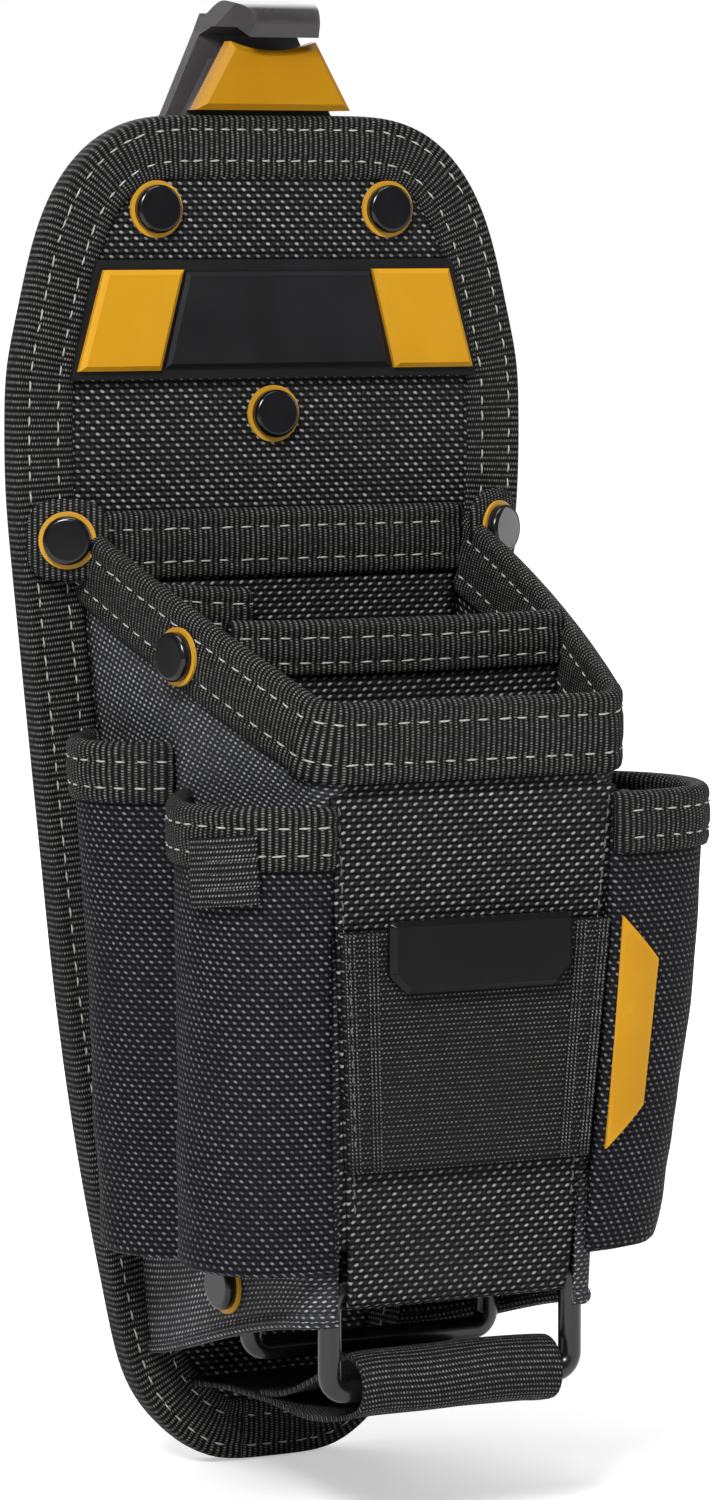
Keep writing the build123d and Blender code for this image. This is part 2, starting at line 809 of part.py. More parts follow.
def taper_cut(top_half, top_depth, foot_half, foot_depth):
    """Upright wedge that narrows a strip from one half width to another."""
    with BuildPart() as wedge:
        with BuildSketch(front_plane(70.0)):
            with BuildLine():
                Polyline(
                    (-top_half, level(top_depth)),
                    (top_half, level(top_depth)),
                    (foot_half, level(foot_depth)),
                    (-foot_half, level(foot_depth)),
                    close=True,
                )
            make_face()
        extrude(amount=60.0)
    return wedge.part


def fold(grow):
    """Closed section of the band's fold round a ring's bar, seen from the side."""
    front = ring_y - ring_bore - grow
    rear = ring_y + ring_bore + grow
    with BuildLine() as section:
        Line((front, ring_z), (front, level(floor_depth + fabric) - 0.4))
        Line((front, level(floor_depth + fabric) - 0.4), (rear, level(floor_depth + fabric) - 0.4))
        Line((rear, level(floor_depth + fabric) - 0.4), (rear, ring_z))
        ThreePointArc((rear, ring_z), (ring_y, ring_z - ring_bore - grow), (front, ring_z))
    return section.edges()


band_gap = clearance
with BuildPart() as front_band:
    with BuildSketch(side_plane(-40.0)):
        with BuildLine():
            upper = face(front_face_reach(band_top[1]) + band_gap)
            lower = ring_y - ring_bore
            Polyline(
                (upper, level(band_top[1])),
                (upper - webbing, level(band_top[1])),
                (lower - webbing, ring_z + 4.0),
                (lower - webbing, ring_z),
                (lower, ring_z),
                (lower, ring_z + 4.0),
                close=True,
            )
        make_face()
    extrude(amount=80.0)
    with BuildSketch(side_plane(-40.0)):
        make_face(fold(webbing))
    extrude(amount=80.0)
    with BuildSketch(side_plane(-40.0)):
        make_face(fold(0))
    extrude(amount=80.0, mode=Mode.SUBTRACT)
    add(box_core(0.2, box_top_depth, front_hem_depth + 0.4), mode=Mode.SUBTRACT)
    add(taper_cut(band_top[0], band_top[1], band_foot_half, 268.0), mode=Mode.INTERSECT)
save(front_band.part, "front_band")


def band_layer(near, thickness, half_top, top_depth, half_foot, foot_depth):
    """Sheet lying on the band at a small distance in front of it."""
    slope_top = face(front_face_reach(top_depth) + near)
    slope_foot = face(front_face_reach(foot_depth) + near)
    with BuildPart() as layer:
        with BuildSketch(side_plane(-40.0)):
            with BuildLine():
                Polyline(
                    (slope_top, level(top_depth)),
                    (slope_top - thickness, level(top_depth)),
                    (slope_foot - thickness, level(foot_depth)),
                    (slope_foot, level(foot_depth)),
                    close=True,
                )
            make_face()
        extrude(amount=80.0)
        add(taper_cut(half_top, top_depth, half_foot, foot_depth), mode=Mode.INTERSECT)
    return layer.part


band_clear = band_gap + webbing + 1.4
web_top, web_foot = 178.6, 232.0
save(band_layer(band_clear, webbing, 33.6, web_top, 30.0, web_foot), "front_webbing_panel")

plate_near = band_clear + webbing + 0.8
plate_y = face(front_face_reach(184.5) + plate_near)
with BuildPart() as clip_plate:
    with BuildSketch(Plane.XZ.offset(-plate_y)) as plate_shape:
        with BuildLine():
            Polyline(
                (-22.8, level(176.4)),
                (22.8, level(176.4)),
                (22.8, level(188.2)),
                (18.6, level(192.4)),
                (-18.6, level(192.4)),
                (-22.8, level(188.2)),
                close=True,
            )
        make_face()
        fillet(plate_shape.vertices(), radius=1.2)
    extrude(amount=2.6)
    chamfer(clip_plate.faces().sort_by(Axis.Y)[0].edges(), length=1.2)
save(clip_plate.part, "front_clip_plate")

tag_gap = 0.3
tag_thickness = 1.6
with BuildPart() as side_tag:
    add(pocket_core(pockets["right_front"], 175.0, 235.0, tag_gap + tag_thickness))
    add(pocket_core(pockets["right_front"], 173.0, 237.0, tag_gap), mode=Mode.SUBTRACT)
    with BuildSketch(front_plane(80.0)):
        with BuildLine():
            Polyline(
                (36.9, level(178.4)),
                (46.4, level(188.6)),
                (43.6, level(221.6)),
                (34.2, level(231.0)),
                close=True,
            )
        make_face()
    extrude(amount=40.0, mode=Mode.INTERSECT)
save(side_tag.part, "side_tag")

# The webbing tag lies on the left front pocket's rim tape, between these depths and across this width.
tag_low, tag_high = 173.0, 158.0
webbing_tag_left, webbing_tag_right = -58.5, -47.5
webbing_tag_reach = 80.0
tag_near = tape + slot_play + 0.3
with BuildPart() as webbing_tag:
    add(pocket_core(pockets["left_front"], tag_high, tag_low, tag_near + webbing))
    add(pocket_core(pockets["left_front"], tag_high - 2, tag_low + 2, tag_near), mode=Mode.SUBTRACT)
    with BuildSketch(front_plane(webbing_tag_reach)):
        with Locations(((webbing_tag_left + webbing_tag_right) / 2, level((tag_low + tag_high) / 2))):
            Rectangle(webbing_tag_right - webbing_tag_left, 40.0)
    extrude(amount=60.0, mode=Mode.INTERSECT)
save(webbing_tag.part, "pocket_webbing_tag")

# ---------------------------------------------------------------- rings and their loops


def steel_ring(reach, depth):
    """Rectangular ring bent from round rod, hanging from its top bar."""
    half = ring_outer_half - ring_rod / 2
    corners = [
        (-half, level(depth)),
        (half, level(depth)),
        (half, level(depth + ring_drop)),
        (-half, level(depth + ring_drop)),
    ]
    with BuildPart() as ring:
        with BuildLine(front_plane(reach)):
            FilletPolyline(*corners, radius=ring_corner, close=True)
        with BuildSketch(side_plane(0)):
            with Locations((face(reach), level(depth))):
                Circle(ring_rod / 2)
        sweep()
    return ring.part


save(steel_ring(front_ring_reach, front_ring_depth), "front_ring")
save(steel_ring(rear_ring_reach, rear_ring_depth), "rear_ring")

loop_half = 13.0
loop_y = face(rear_ring_reach)
loop_z = level(rear_ring_depth)
loop_top = level(floor_depth + fabric) - 0.2
with BuildPart() as rear_ring_loop:
    for radius, mode in ((ring_bore + webbing, Mode.ADD), (ring_bore, Mode.SUBTRACT)):
        with BuildSketch(side_plane(-loop_half)):
            with Locations((loop_y, loop_z)):
                Circle(radius)
            with Locations((loop_y, (loop_z + loop_top) / 2)):
                Rectangle(2 * radius, loop_top - loop_z)
        extrude(amount=2 * loop_half, mode=mode)
save(rear_ring_loop.part, "rear_ring_loop")

# ---------------------------------------------------------------- bottom strap

strap_root_depth = 295.6
strap_join = (42.0, 291.2)
tube_front = 93.6
tube_upper = [(strap_join[0], strap_join[1] - 2.4), (62.0, 284.6), (76.0, 277.4), (86.0, 273.4)]
tube_nose = (tube_front, 280.4)
tube_lower = [(86.0, 288.4), (62.0, 292.2), (strap_join[0], strap_join[1] + 0.8)]


def strap_point(point, inset=0.0):
    """Strap point in the side view."""
    return (face(point[0]), level(point[1] + inset))


with BuildPart() as bottom_strap:
    with BuildSketch(side_plane(-strap_half)):
        with BuildLine():
            strap_root = (face(clearance), level(strap_root_depth))
            strap_root_top = (face(clearance), level(strap_root_depth - 3.0))
            Line(strap_root, strap_point(tube_lower[-1]))
            Spline(*[strap_point(p) for p in reversed(tube_lower)])
            ThreePointArc(strap_point(tube_lower[0]), strap_point(tube_nose), strap_point(tube_upper[-1]))
            Spline(*[strap_point(p) for p in reversed(tube_upper)])
            Line(strap_point(tube_upper[0]), strap_root_top)
            Line(strap_root_top, strap_root)
        make_face()
    extrude(amount=2 * strap_half)
    with BuildSketch(side_plane(-strap_half)):
        with BuildLine():
            nose_in = (tube_nose[0] - webbing, tube_nose[1])
            high = [(50.0, 290.2), (62.0, 286.0), (76.5, 278.8), (85.8, 274.9)]
            low = [(85.8, 286.9), (62.0, 290.7), (50.0, 291.2)]
            Spline(*[strap_point(p) for p in high])
            ThreePointArc(strap_point(high[-1]), strap_point(nose_in), strap_point(low[0]))
            Spline(*[strap_point(p) for p in low])
            Line(strap_point(low[-1]), strap_point(high[0]))
        make_face()
    extrude(amount=2 * strap_half, mode=Mode.SUBTRACT)
save(bottom_strap.part, "bottom_strap")
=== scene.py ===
"""Looks of an electrician tool pouch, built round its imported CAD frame.

Places in Blender are metres. Sizes of the pouch are mm, turned into metres by MM or by at()."""

from math import cos, exp, pi, radians, sin, sqrt

import bmesh
import bpy
import numpy as np
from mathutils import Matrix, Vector, noise
from mathutils.geometry import convex_hull_2d


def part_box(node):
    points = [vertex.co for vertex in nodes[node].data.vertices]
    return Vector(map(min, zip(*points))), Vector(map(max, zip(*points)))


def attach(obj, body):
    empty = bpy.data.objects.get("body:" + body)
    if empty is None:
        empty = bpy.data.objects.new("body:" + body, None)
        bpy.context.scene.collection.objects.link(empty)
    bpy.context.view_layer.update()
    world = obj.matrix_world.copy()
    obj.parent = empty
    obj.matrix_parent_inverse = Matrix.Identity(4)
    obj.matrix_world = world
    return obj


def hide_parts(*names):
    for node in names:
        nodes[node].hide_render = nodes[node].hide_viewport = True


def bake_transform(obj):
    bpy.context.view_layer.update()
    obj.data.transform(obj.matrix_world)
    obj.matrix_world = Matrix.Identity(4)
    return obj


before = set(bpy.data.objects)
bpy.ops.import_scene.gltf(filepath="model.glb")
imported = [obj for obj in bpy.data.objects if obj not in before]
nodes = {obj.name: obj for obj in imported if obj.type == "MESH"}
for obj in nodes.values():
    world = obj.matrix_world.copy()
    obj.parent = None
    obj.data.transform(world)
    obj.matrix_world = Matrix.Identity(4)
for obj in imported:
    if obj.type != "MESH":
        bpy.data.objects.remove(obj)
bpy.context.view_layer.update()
scene = bpy.context.scene

MM = 0.001
PANEL_LOW, PANEL_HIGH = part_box("panel_binding")
PANEL_Y = PANEL_LOW.y
PANEL_TOP = PANEL_HIGH.z
PANEL_THICKNESS = (PANEL_HIGH.y - PANEL_LOW.y) / MM

FABRIC = 1.6
TAPE = 1.3
BODY = "pouch"


def at(x, reach, depth):
    """A point x mm to the right, reach mm in front of the panel's face and depth mm below its top edge."""
    return Vector((x * MM, PANEL_Y - reach * MM, PANEL_TOP - depth * MM))


# -------- materials


class Shader:
    """A material's node tree, with short ways to add the nodes used here."""

    def __init__(self, name):
        self.material = bpy.data.materials.new(name)
        self.material.use_nodes = True
        self.tree = self.material.node_tree
        self.surface = self.tree.nodes["Principled BSDF"]

    def node(self, kind, **values):
        made = self.tree.nodes.new(kind)
        for key, value in values.items():
            setattr(made, key, value)
        return made

    def put(self, value, socket):
        if isinstance(value, bpy.types.NodeSocket):
            self.tree.links.new(value, socket)
        else:
            socket.default_value = value

    def math(self, operation, *inputs, clamp=False):
        made = self.node("ShaderNodeMath", operation=operation, use_clamp=clamp)
        for value, socket in zip(inputs, made.inputs):
            self.put(value, socket)
        return made.outputs[0]

    def mix(self, share, first, second):
        made = self.node("ShaderNodeMix", data_type="RGBA")
        self.put(share, made.inputs[0])
        self.put(first if not isinstance(first, tuple) else (*first, 1), made.inputs[6])
        self.put(second if not isinstance(second, tuple) else (*second, 1), made.inputs[7])
        return made.outputs[2]

    def noise(self, vector, scale, detail=2.0):
        made = self.node("ShaderNodeTexNoise")
        self.put(vector, made.inputs["Vector"])
        made.inputs["Scale"].default_value = scale
        made.inputs["Detail"].default_value = detail
        return made.outputs["Fac"]

    def ramp(self, value, low, high):
        made = self.node("ShaderNodeMapRange", interpolation_type="SMOOTHSTEP")
        self.put(value, made.inputs["Value"])
        made.inputs["From Min"].default_value = low
        made.inputs["From Max"].default_value = high
        return made.outputs["Result"]

    def place(self, kind):
        """Flat coordinates in metres: along and down a sheet, or x and z on a piece in the panel's plane."""
        if kind == "sheet":
            split = self.node("ShaderNodeSeparateXYZ")
            self.put(self.node("ShaderNodeUVMap", uv_map="UVMap").outputs["UV"], split.inputs[0])
            return split.outputs["X"], split.outputs["Y"]
        split = self.node("ShaderNodeSeparateXYZ")
        self.put(self.node("ShaderNodeTexCoord").outputs["Object"], split.inputs[0])
        return split.outputs["X"], split.outputs["Z"]

    def object_place(self):
        return self.node("ShaderNodeTexCoord").outputs["Object"]

    def bump(self, height, strength, distance):
        made = self.node("ShaderNodeBump")
        made.inputs["Strength"].default_value = strength
        made.inputs["Distance"].default_value = distance
        self.put(height, made.inputs["Height"])
        self.feed("Normal", made.outputs["Normal"])

    def feed(self, name, value):
        self.put(value, self.surface.inputs[name])

    def set(self, **values):
        for name, value in values.items():
            self.surface.inputs[name.replace("_", " ")].default_value = value


def cell_dome(shader, across, along, pitch, lean, size, shift=0.0):
    """Dome of one yarn float in each cell of a brick pattern, and a random number for that float."""
    u = shader.math("DIVIDE", across, pitch[0] * MM)
    v = shader.math("DIVIDE", along, pitch[1] * MM)
    row = shader.math("FLOOR", v)
    odd = shader.math("MODULO", shader.math("ABSOLUTE", row), 2.0)
    u = shader.math("ADD", u, shader.math("MULTIPLY_ADD", odd, 0.5, shift))
    local_u = shader.math("SUBTRACT", shader.math("FRACT", u), 0.5)
    local_v = shader.math("SUBTRACT", shader.math("FRACT", v), 0.5)
    local_v = shader.math("ADD", local_v, shader.math("MULTIPLY", local_u, lean))
    wide = shader.math("POWER", shader.math("MULTIPLY", local_u, 1 / size[0]), 2.0)
    tall = shader.math("POWER", shader.math("MULTIPLY", local_v, 1 / size[1]), 2.0)
    dome = shader.math("SUBTRACT", 1.0, shader.math("ADD", wide, tall), clamp=True)
    pick = shader.node("ShaderNodeTexWhiteNoise", noise_dimensions="2D")
    cell = shader.node("ShaderNodeCombineXYZ")
    shader.put(shader.math("FLOOR", u), cell.inputs[0])
    shader.put(row, cell.inputs[1])
    shader.put(cell.outputs[0], pick.inputs["Vector"])
    return dome, pick.outputs["Value"]


def woven(name, pitch, size, ground, thread, lean, kind="sheet", turn=False):
    """Coarse weave: floats in a brick pattern over darker crossing yarns, their crowns lightened by a
    painted highlight in the thread colour, with fibres and fading.
    """
    shader = Shader(name)
    across, along = shader.place(kind)
    if turn:
        across, along = along, across
    dome, pick = cell_dome(shader, across, along, pitch, lean, size)
    under, _ = cell_dome(shader, across, along, pitch, -lean, (0.32, 0.46), 0.5)
    spot = shader.object_place()
    fibre = shader.noise(spot, 3200.0, 3.0)
    patch = shader.noise(spot, 22.0, 3.0)
    # Painted highlight: a light spot of the thread colour on the crown of each float, of random strength
    # from float to float and broken up by the fibres.
    bright = shader.math("MULTIPLY_ADD", pick, 0.65, 0.35)
    glint = shader.math("MULTIPLY", shader.ramp(dome, 0.2, 0.95), bright)
    glint = shader.math("MULTIPLY", glint, shader.math("MULTIPLY_ADD", fibre, 1.1, 0.35), clamp=True)
    # A faint painted highlight on the crowns of the crossing yarns as well.
    tone = shader.mix(shader.math("MULTIPLY", under, 0.04), ground, thread)
    tone = shader.mix(glint, tone, thread)
    faded = shader.math("MULTIPLY", shader.ramp(patch, 0.4, 0.8), 0.35)
    tone = shader.mix(faded, tone, tuple(g + 0.04 * t for g, t in zip(ground, thread)))
    shader.feed("Base Color", tone)
    height = shader.math("ADD", shader.math("MULTIPLY", dome, 0.8), shader.math("MULTIPLY", under, 0.45))
    height = shader.math("ADD", height, shader.math("MULTIPLY", fibre, 0.35))
    shader.bump(height, 0.7, 0.5 * MM)
    shader.feed("Roughness", shader.math("MULTIPLY_ADD", fibre, 0.2, 0.52))
    shader.set(Specular_IOR_Level=0.08)
    return shader.material


def moulded(name, colour, light, roughness, grain=0.12, coat=0.0, specular=0.28):
    """Moulded plastic: fine grain, faint flow marks, and a painted highlight that lightens its sharp edges a
    little.
    """
    shader = Shader(name)
    spot = shader.object_place()
    mottle = shader.noise(spot, 60.0, 4.0)
    speck = shader.noise(spot, 2600.0, 2.0)
    edge = shader.node("ShaderNodeNewGeometry").outputs["Pointiness"]
    # Painted highlight: sharp convex edges, found by pointiness, are lightened towards the lighter tone.
    edge_highlight = shader.ramp(edge, 0.515, 0.56)
    tone = shader.mix(shader.math("MULTIPLY", shader.ramp(mottle, 0.35, 0.75), 0.45), colour, light)
    tone = shader.mix(shader.math("MULTIPLY", edge_highlight, 0.4), tone, light)
    shader.feed("Base Color", tone)
    shader.feed("Roughness", shader.math("MULTIPLY_ADD", mottle, 0.14, roughness - 0.07))
    shader.bump(speck, grain, 0.12 * MM)
    shader.set(Specular_IOR_Level=specular, Coat_Weight=coat, Coat_Roughness=0.2)
    return shader.material


def coated_steel(name, colour, roughness):
    """Steel rod under a thin black coat, worn brighter in small patches."""
    shader = Shader(name)
    spot = shader.object_place()
    worn = shader.ramp(shader.noise(spot, 160.0, 5.0), 0.62, 0.9)
    tone = shader.mix(worn, colour, tuple(1.8 * c for c in colour))
    shader.feed("Base Color", tone)
    shader.feed("Roughness", shader.math("MULTIPLY_ADD", worn, 0.12, roughness))
    shader.bump(shader.noise(spot, 900.0, 3.0), 0.1, 0.1 * MM)
    shader.set(Specular_IOR_Level=0.6, Coat_Weight=0.3, Coat_Roughness=0.2)
    return shader.material


def twisted_thread(name, colour, shade):
    """Sewing thread with its plies showing as slanted light and dark bands."""
    shader = Shader(name)
    spot = shader.object_place()
    wave = shader.node("ShaderNodeTexWave", wave_type="BANDS", bands_direction="DIAGONAL")
    shader.put(spot, wave.inputs["Vector"])
    wave.inputs["Scale"].default_value = 900.0
    tone = shader.mix(shader.noise(spot, 330.0), shade, colour)
    tone = shader.mix(shader.math("MULTIPLY", wave.outputs["Fac"], 0.35), tone, shade)
    shader.feed("Base Color", tone)
    shader.bump(wave.outputs["Fac"], 0.4, 0.1 * MM)
    shader.set(Roughness=0.6, Sheen_Weight=0.2)
    return shader.material


# In each pair the second colour is painted highlight on the crowns of the weave's floats; on the grey cloth
# it is partly the yarn's own lighter colour too.
BLACK, YARN = (0.0035, 0.0035, 0.0042), (0.47, 0.47, 0.48)
POCKET_GROUND, POCKET_YARN = (0.004, 0.004, 0.005), (0.26, 0.26, 0.28)
GREY_GROUND, GREY_YARN = (0.024, 0.0243, 0.0262), (0.62, 0.625, 0.645)
MESH_GROUND, MESH_YARN = (0.006, 0.006, 0.007), (0.05, 0.05, 0.054)
TAPE_GROUND, TAPE_YARN = (0.0045, 0.0045, 0.0045), (0.27, 0.27, 0.262)
WEB_GROUND, WEB_YARN = (0.007, 0.007, 0.007), (0.27, 0.27, 0.26)
STRAP_GROUND, STRAP_YARN = (0.008, 0.008, 0.008), (0.34, 0.34, 0.335)
# Each weave: pitch along and down in mm, half sizes of a float as shares of its cell, colours, and slant.
NYLON = woven("ballistic_nylon", (2.5, 1.4), (0.31, 0.36), BLACK, YARN, 0.4)
PAD_NYLON = woven("ballistic_nylon_panel", (2.5, 1.4), (0.31, 0.36), BLACK, YARN, 0.4, "flat")
POCKET_NYLON = woven("pocket_nylon", (2.0, 1.3), (0.31, 0.36), POCKET_GROUND, POCKET_YARN, 0.4)
GREY_NYLON = woven("grey_nylon", (1.9, 1.2), (0.34, 0.36), GREY_GROUND, GREY_YARN, 0.35)
MESH_FABRIC = woven("spacer_mesh", (3.0, 1.8), (0.42, 0.42), MESH_GROUND, MESH_YARN, 0.0, "flat")
RIBBED_TAPE = woven("ribbed_tape", (0.62, 1.35), (0.4, 0.36), TAPE_GROUND, TAPE_YARN, 0.0, turn=True)
WEBBING = woven("webbing_panel", (1.1, 1.1), (0.34, 0.3), WEB_GROUND, WEB_YARN, 0.15)
STRAP_WEB = woven("strap_webbing", (0.8, 1.2), (0.4, 0.3), STRAP_GROUND, STRAP_YARN, 0.3)
THREAD = twisted_thread("seam_thread", (0.66, 0.64, 0.58), (0.3, 0.29, 0.26))
DARK_THREAD = twisted_thread("dark_thread", (0.16, 0.16, 0.16), (0.06, 0.06, 0.06))
YELLOW = moulded("yellow_plastic", (0.57, 0.265, 0.006), (0.66, 0.33, 0.012), 0.42, specular=0.22)
AMBER = moulded("amber_plastic", (0.395, 0.17, 0.0015), (0.5, 0.24, 0.008), 0.35, specular=0.2)
CHARCOAL = moulded("charcoal_plastic", (0.006, 0.006, 0.0066), (0.018, 0.018, 0.02), 0.4, specular=0.2)
CLIP_PLASTIC = moulded("clip_plastic", (0.034, 0.031, 0.031), (0.09, 0.085, 0.086), 0.28, coat=0.2)
GLOSS_BLACK = moulded("gloss_black_plastic", (0.003, 0.003, 0.0035), (0.01, 0.01, 0.011), 0.2, 0.05, 0, 0.22)
RIVET_BLACK = moulded("rivet_enamel", (0.003, 0.003, 0.004), (0.012, 0.012, 0.014), 0.2, 0.03, 0.3, 0.4)
RIVET_YELLOW = moulded("rivet_ring", (0.55, 0.26, 0.012), (0.66, 0.36, 0.04), 0.38)
RING_STEEL = coated_steel("ring_steel", (0.007, 0.007, 0.008), 0.26)
PIN_STEEL = coated_steel("pin_steel", (0.3, 0.3, 0.31), 0.3)

# -------- mesh making


def plain_object(name, vertices, faces, material, uvs=None):
    """Mesh object with one material, smooth faces, and optional sheet coordinates for its face corners."""
    mesh = bpy.data.meshes.new(name)
    mesh.from_pydata([tuple(v) for v in vertices], [], faces)
    mesh.materials.append(material)
    mesh.polygons.foreach_set("use_smooth", [True] * len(mesh.polygons))
    if uvs is not None:
        mesh.uv_layers.new(name="UVMap").data.foreach_set("uv", np.array(uvs, np.float32).ravel())
    mesh.validate()
    made = bpy.data.objects.new(name, mesh)
    scene.collection.objects.link(made)
    return made


def grid_object(name, rows, material, closed=False, caps=False, turned=False):
    """Mesh through rows of points. Its sheet coordinates are the real distances along and down it."""
    points = np.array([[tuple(p) for p in row] for row in rows])
    height, width = points.shape[:2]
    ring = np.concatenate([points, points[:, :1]], axis=1) if closed else points
    steps = np.linalg.norm(np.diff(ring, axis=1), axis=2)
    along = np.concatenate([np.zeros((height, 1)), np.cumsum(steps, axis=1)], axis=1)
    along -= along[:, -1:] / 2
    drops = np.linalg.norm(np.diff(points, axis=0), axis=2).mean(axis=1)
    down = np.concatenate([[0.0], np.cumsum(drops)])
    faces, uvs = [], []
    for r in range(height - 1):
        for c in range(width if closed else width - 1):
            n = (c + 1) % width
            faces.append((r * width + c, r * width + n, (r + 1) * width + n, (r + 1) * width + c))
            for rr, cc in ((r, c), (r, c + 1), (r + 1, c + 1), (r + 1, c)):
                uv = (along[rr, cc], down[rr])
                uvs.append((uv[1], uv[0]) if turned else uv)
    if caps:
        for r, order in ((0, range(width - 1, -1, -1)), (height - 1, range(width))):
            faces.append([r * width + c for c in order])
            uvs.extend([(0.0, along[r, c]) for c in order])
    made = plain_object(name, points.reshape(-1, 3), faces, material, uvs)
    made["flat_width"] = float(along[:, -1].mean() * 2)
    made["flat_length"] = float(down[-1])
    return made


def finish_piece(piece, node):
    """Puts a piece on the pouch, in place of one CAD node or a list of them."""
    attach(piece, BODY)
    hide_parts(*([node] if isinstance(node, str) else node))


def thicken(piece, thickness, offset=0.0, far=None):
    """Gives a sheet its thickness in mm; far is the material of the side that this adds, if it differs."""
    solid = piece.modifiers.new("thickness", "SOLIDIFY")
    solid.thickness = thickness * MM
    solid.offset = offset
    if far:
        piece.data.materials.append(far)
        solid.material_offset = 1


def cord(name, line, up, sides, half_width, half_height, material):
    """Oval cord along a line, its height towards up; a negative half width turns the oval's points round."""
    rows = []
    for i, point in enumerate(line):
        tangent = (line[min(i + 1, len(line) - 1)] - line[max(i - 1, 0)]).normalized()
        across = up.cross(tangent).normalized() * half_width
        turns = [2 * pi * k / sides for k in range(sides)]
        rows.append([point + (across * cos(turn) + up * half_height * sin(turn)) * MM for turn in turns])
    made = grid_object(name, rows, material, closed=True, caps=True, turned=True)
    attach(made, BODY)


def walked(line):
    """Distance walked along a line of points, at each of them."""
    return np.concatenate([[0.0], np.cumsum(np.linalg.norm(np.diff(line, axis=0), axis=1))])


def smooth_curve(points, count):
    """Evenly spread points on the natural cubic spline through the given ones."""
    given = np.array([tuple(p) for p in points], float)
    knots = walked(given)
    gaps = np.diff(knots)
    matrix, right = np.eye(len(knots)), np.zeros_like(given)
    for i in range(1, len(knots) - 1):
        matrix[i, i - 1 : i + 2] = gaps[i - 1], 2 * (gaps[i - 1] + gaps[i]), gaps[i]
        right[i] = 6 * ((given[i + 1] - given[i]) / gaps[i] - (given[i] - given[i - 1]) / gaps[i - 1])
    bend = np.linalg.solve(matrix, right)
    where = np.linspace(0, knots[-1], count)
    span = np.clip(np.searchsorted(knots, where, side="right") - 1, 0, len(gaps) - 1)
    gap = gaps[span][:, None]
    before, after = (where - knots[span])[:, None], (knots[span + 1] - where)[:, None]
    return (
        bend[span] * after**3 / (6 * gap)
        + bend[span + 1] * before**3 / (6 * gap)
        + (given[span] / gap - bend[span] * gap / 6) * after
        + (given[span + 1] / gap - bend[span + 1] * gap / 6) * before
    )


def ripple(point, amount, scale=38.0, seed=0.0):
    """Smooth random number in mm for a place on the cloth."""
    return amount * noise.noise(point * scale + Vector((seed, 2 * seed, 0.5 * seed)))


STITCH_RINGS = 5
STITCH_SIDES = 6


def stitch_object(name, runs, pitch, length, width, material=THREAD):
    """Row upon row of sewing stitches: each run is a list of points and the cloth's normals there."""
    vertices, faces = [], []
    for points, normals in runs:
        line = np.array([tuple(p) for p in points])
        out = np.array([tuple(n) for n in normals])
        reach = walked(line)
        for k in range(int((reach[-1] / MM - 1.0) / pitch)):
            jitter = noise.noise(Vector((k * 0.71, len(vertices) * 0.013, 0.3)))
            start = (k + 0.3 + 0.16 * jitter) * pitch * MM
            extent = length * (1.0 + 0.35 * jitter)
            base = len(vertices)
            for ring in range(STITCH_RINGS):
                share = ring / (STITCH_RINGS - 1)
                where = start + share * extent * MM
                centre = Vector([np.interp(where, reach, line[:, a]) for a in range(3)])
                ahead = Vector([np.interp(where + 0.4 * MM, reach, line[:, a]) for a in range(3)])
                up = Vector([np.interp(where, reach, out[:, a]) for a in range(3)]).normalized()
                tangent = (ahead - centre).normalized() if (ahead - centre).length > 1e-7 else tangent
                side = up.cross(tangent).normalized()
                swell = 0.35 + 0.65 * sin(pi * share)
                centre += up * (0.34 * sin(pi * share) - 0.12) * MM
                centre += side * 0.5 * jitter * (share - 0.5) * MM
                for corner in range(STITCH_SIDES):
                    turn = 2 * pi * corner / STITCH_SIDES
                    radius = width * swell * MM
                    vertices.append(centre + side * cos(turn) * radius + up * sin(turn) * radius * 0.75)
            for ring in range(STITCH_RINGS - 1):
                for corner in range(STITCH_SIDES):
                    n = (corner + 1) % STITCH_SIDES
                    a, b = base + ring * STITCH_SIDES, base + (ring + 1) * STITCH_SIDES
                    faces.append((a + corner, a + n, b + n, b + corner))
            last = base + (STITCH_RINGS - 1) * STITCH_SIDES
            faces.append([base + c for c in range(STITCH_SIDES - 1, -1, -1)])
            faces.append([last + c for c in range(STITCH_SIDES)])
    made = plain_object(name, vertices, faces, material)
    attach(made, BODY)
    return made


def tape_offset(distance, core, thick, height, rows):
    """How far a tape's outer face stands from the cloth's middle, this far down from its fold."""
    puff = 0.3 * sin(pi * min(max(distance / height, 0.0), 1.0)) + 0.1
    dips = sum(0.42 * exp(-(((distance - row) / 0.85) ** 2)) for row in rows)
    edge = 0.35 * max(0.0, distance / height - 0.9) * 10
    return core / 2 + thick + puff - dips - edge


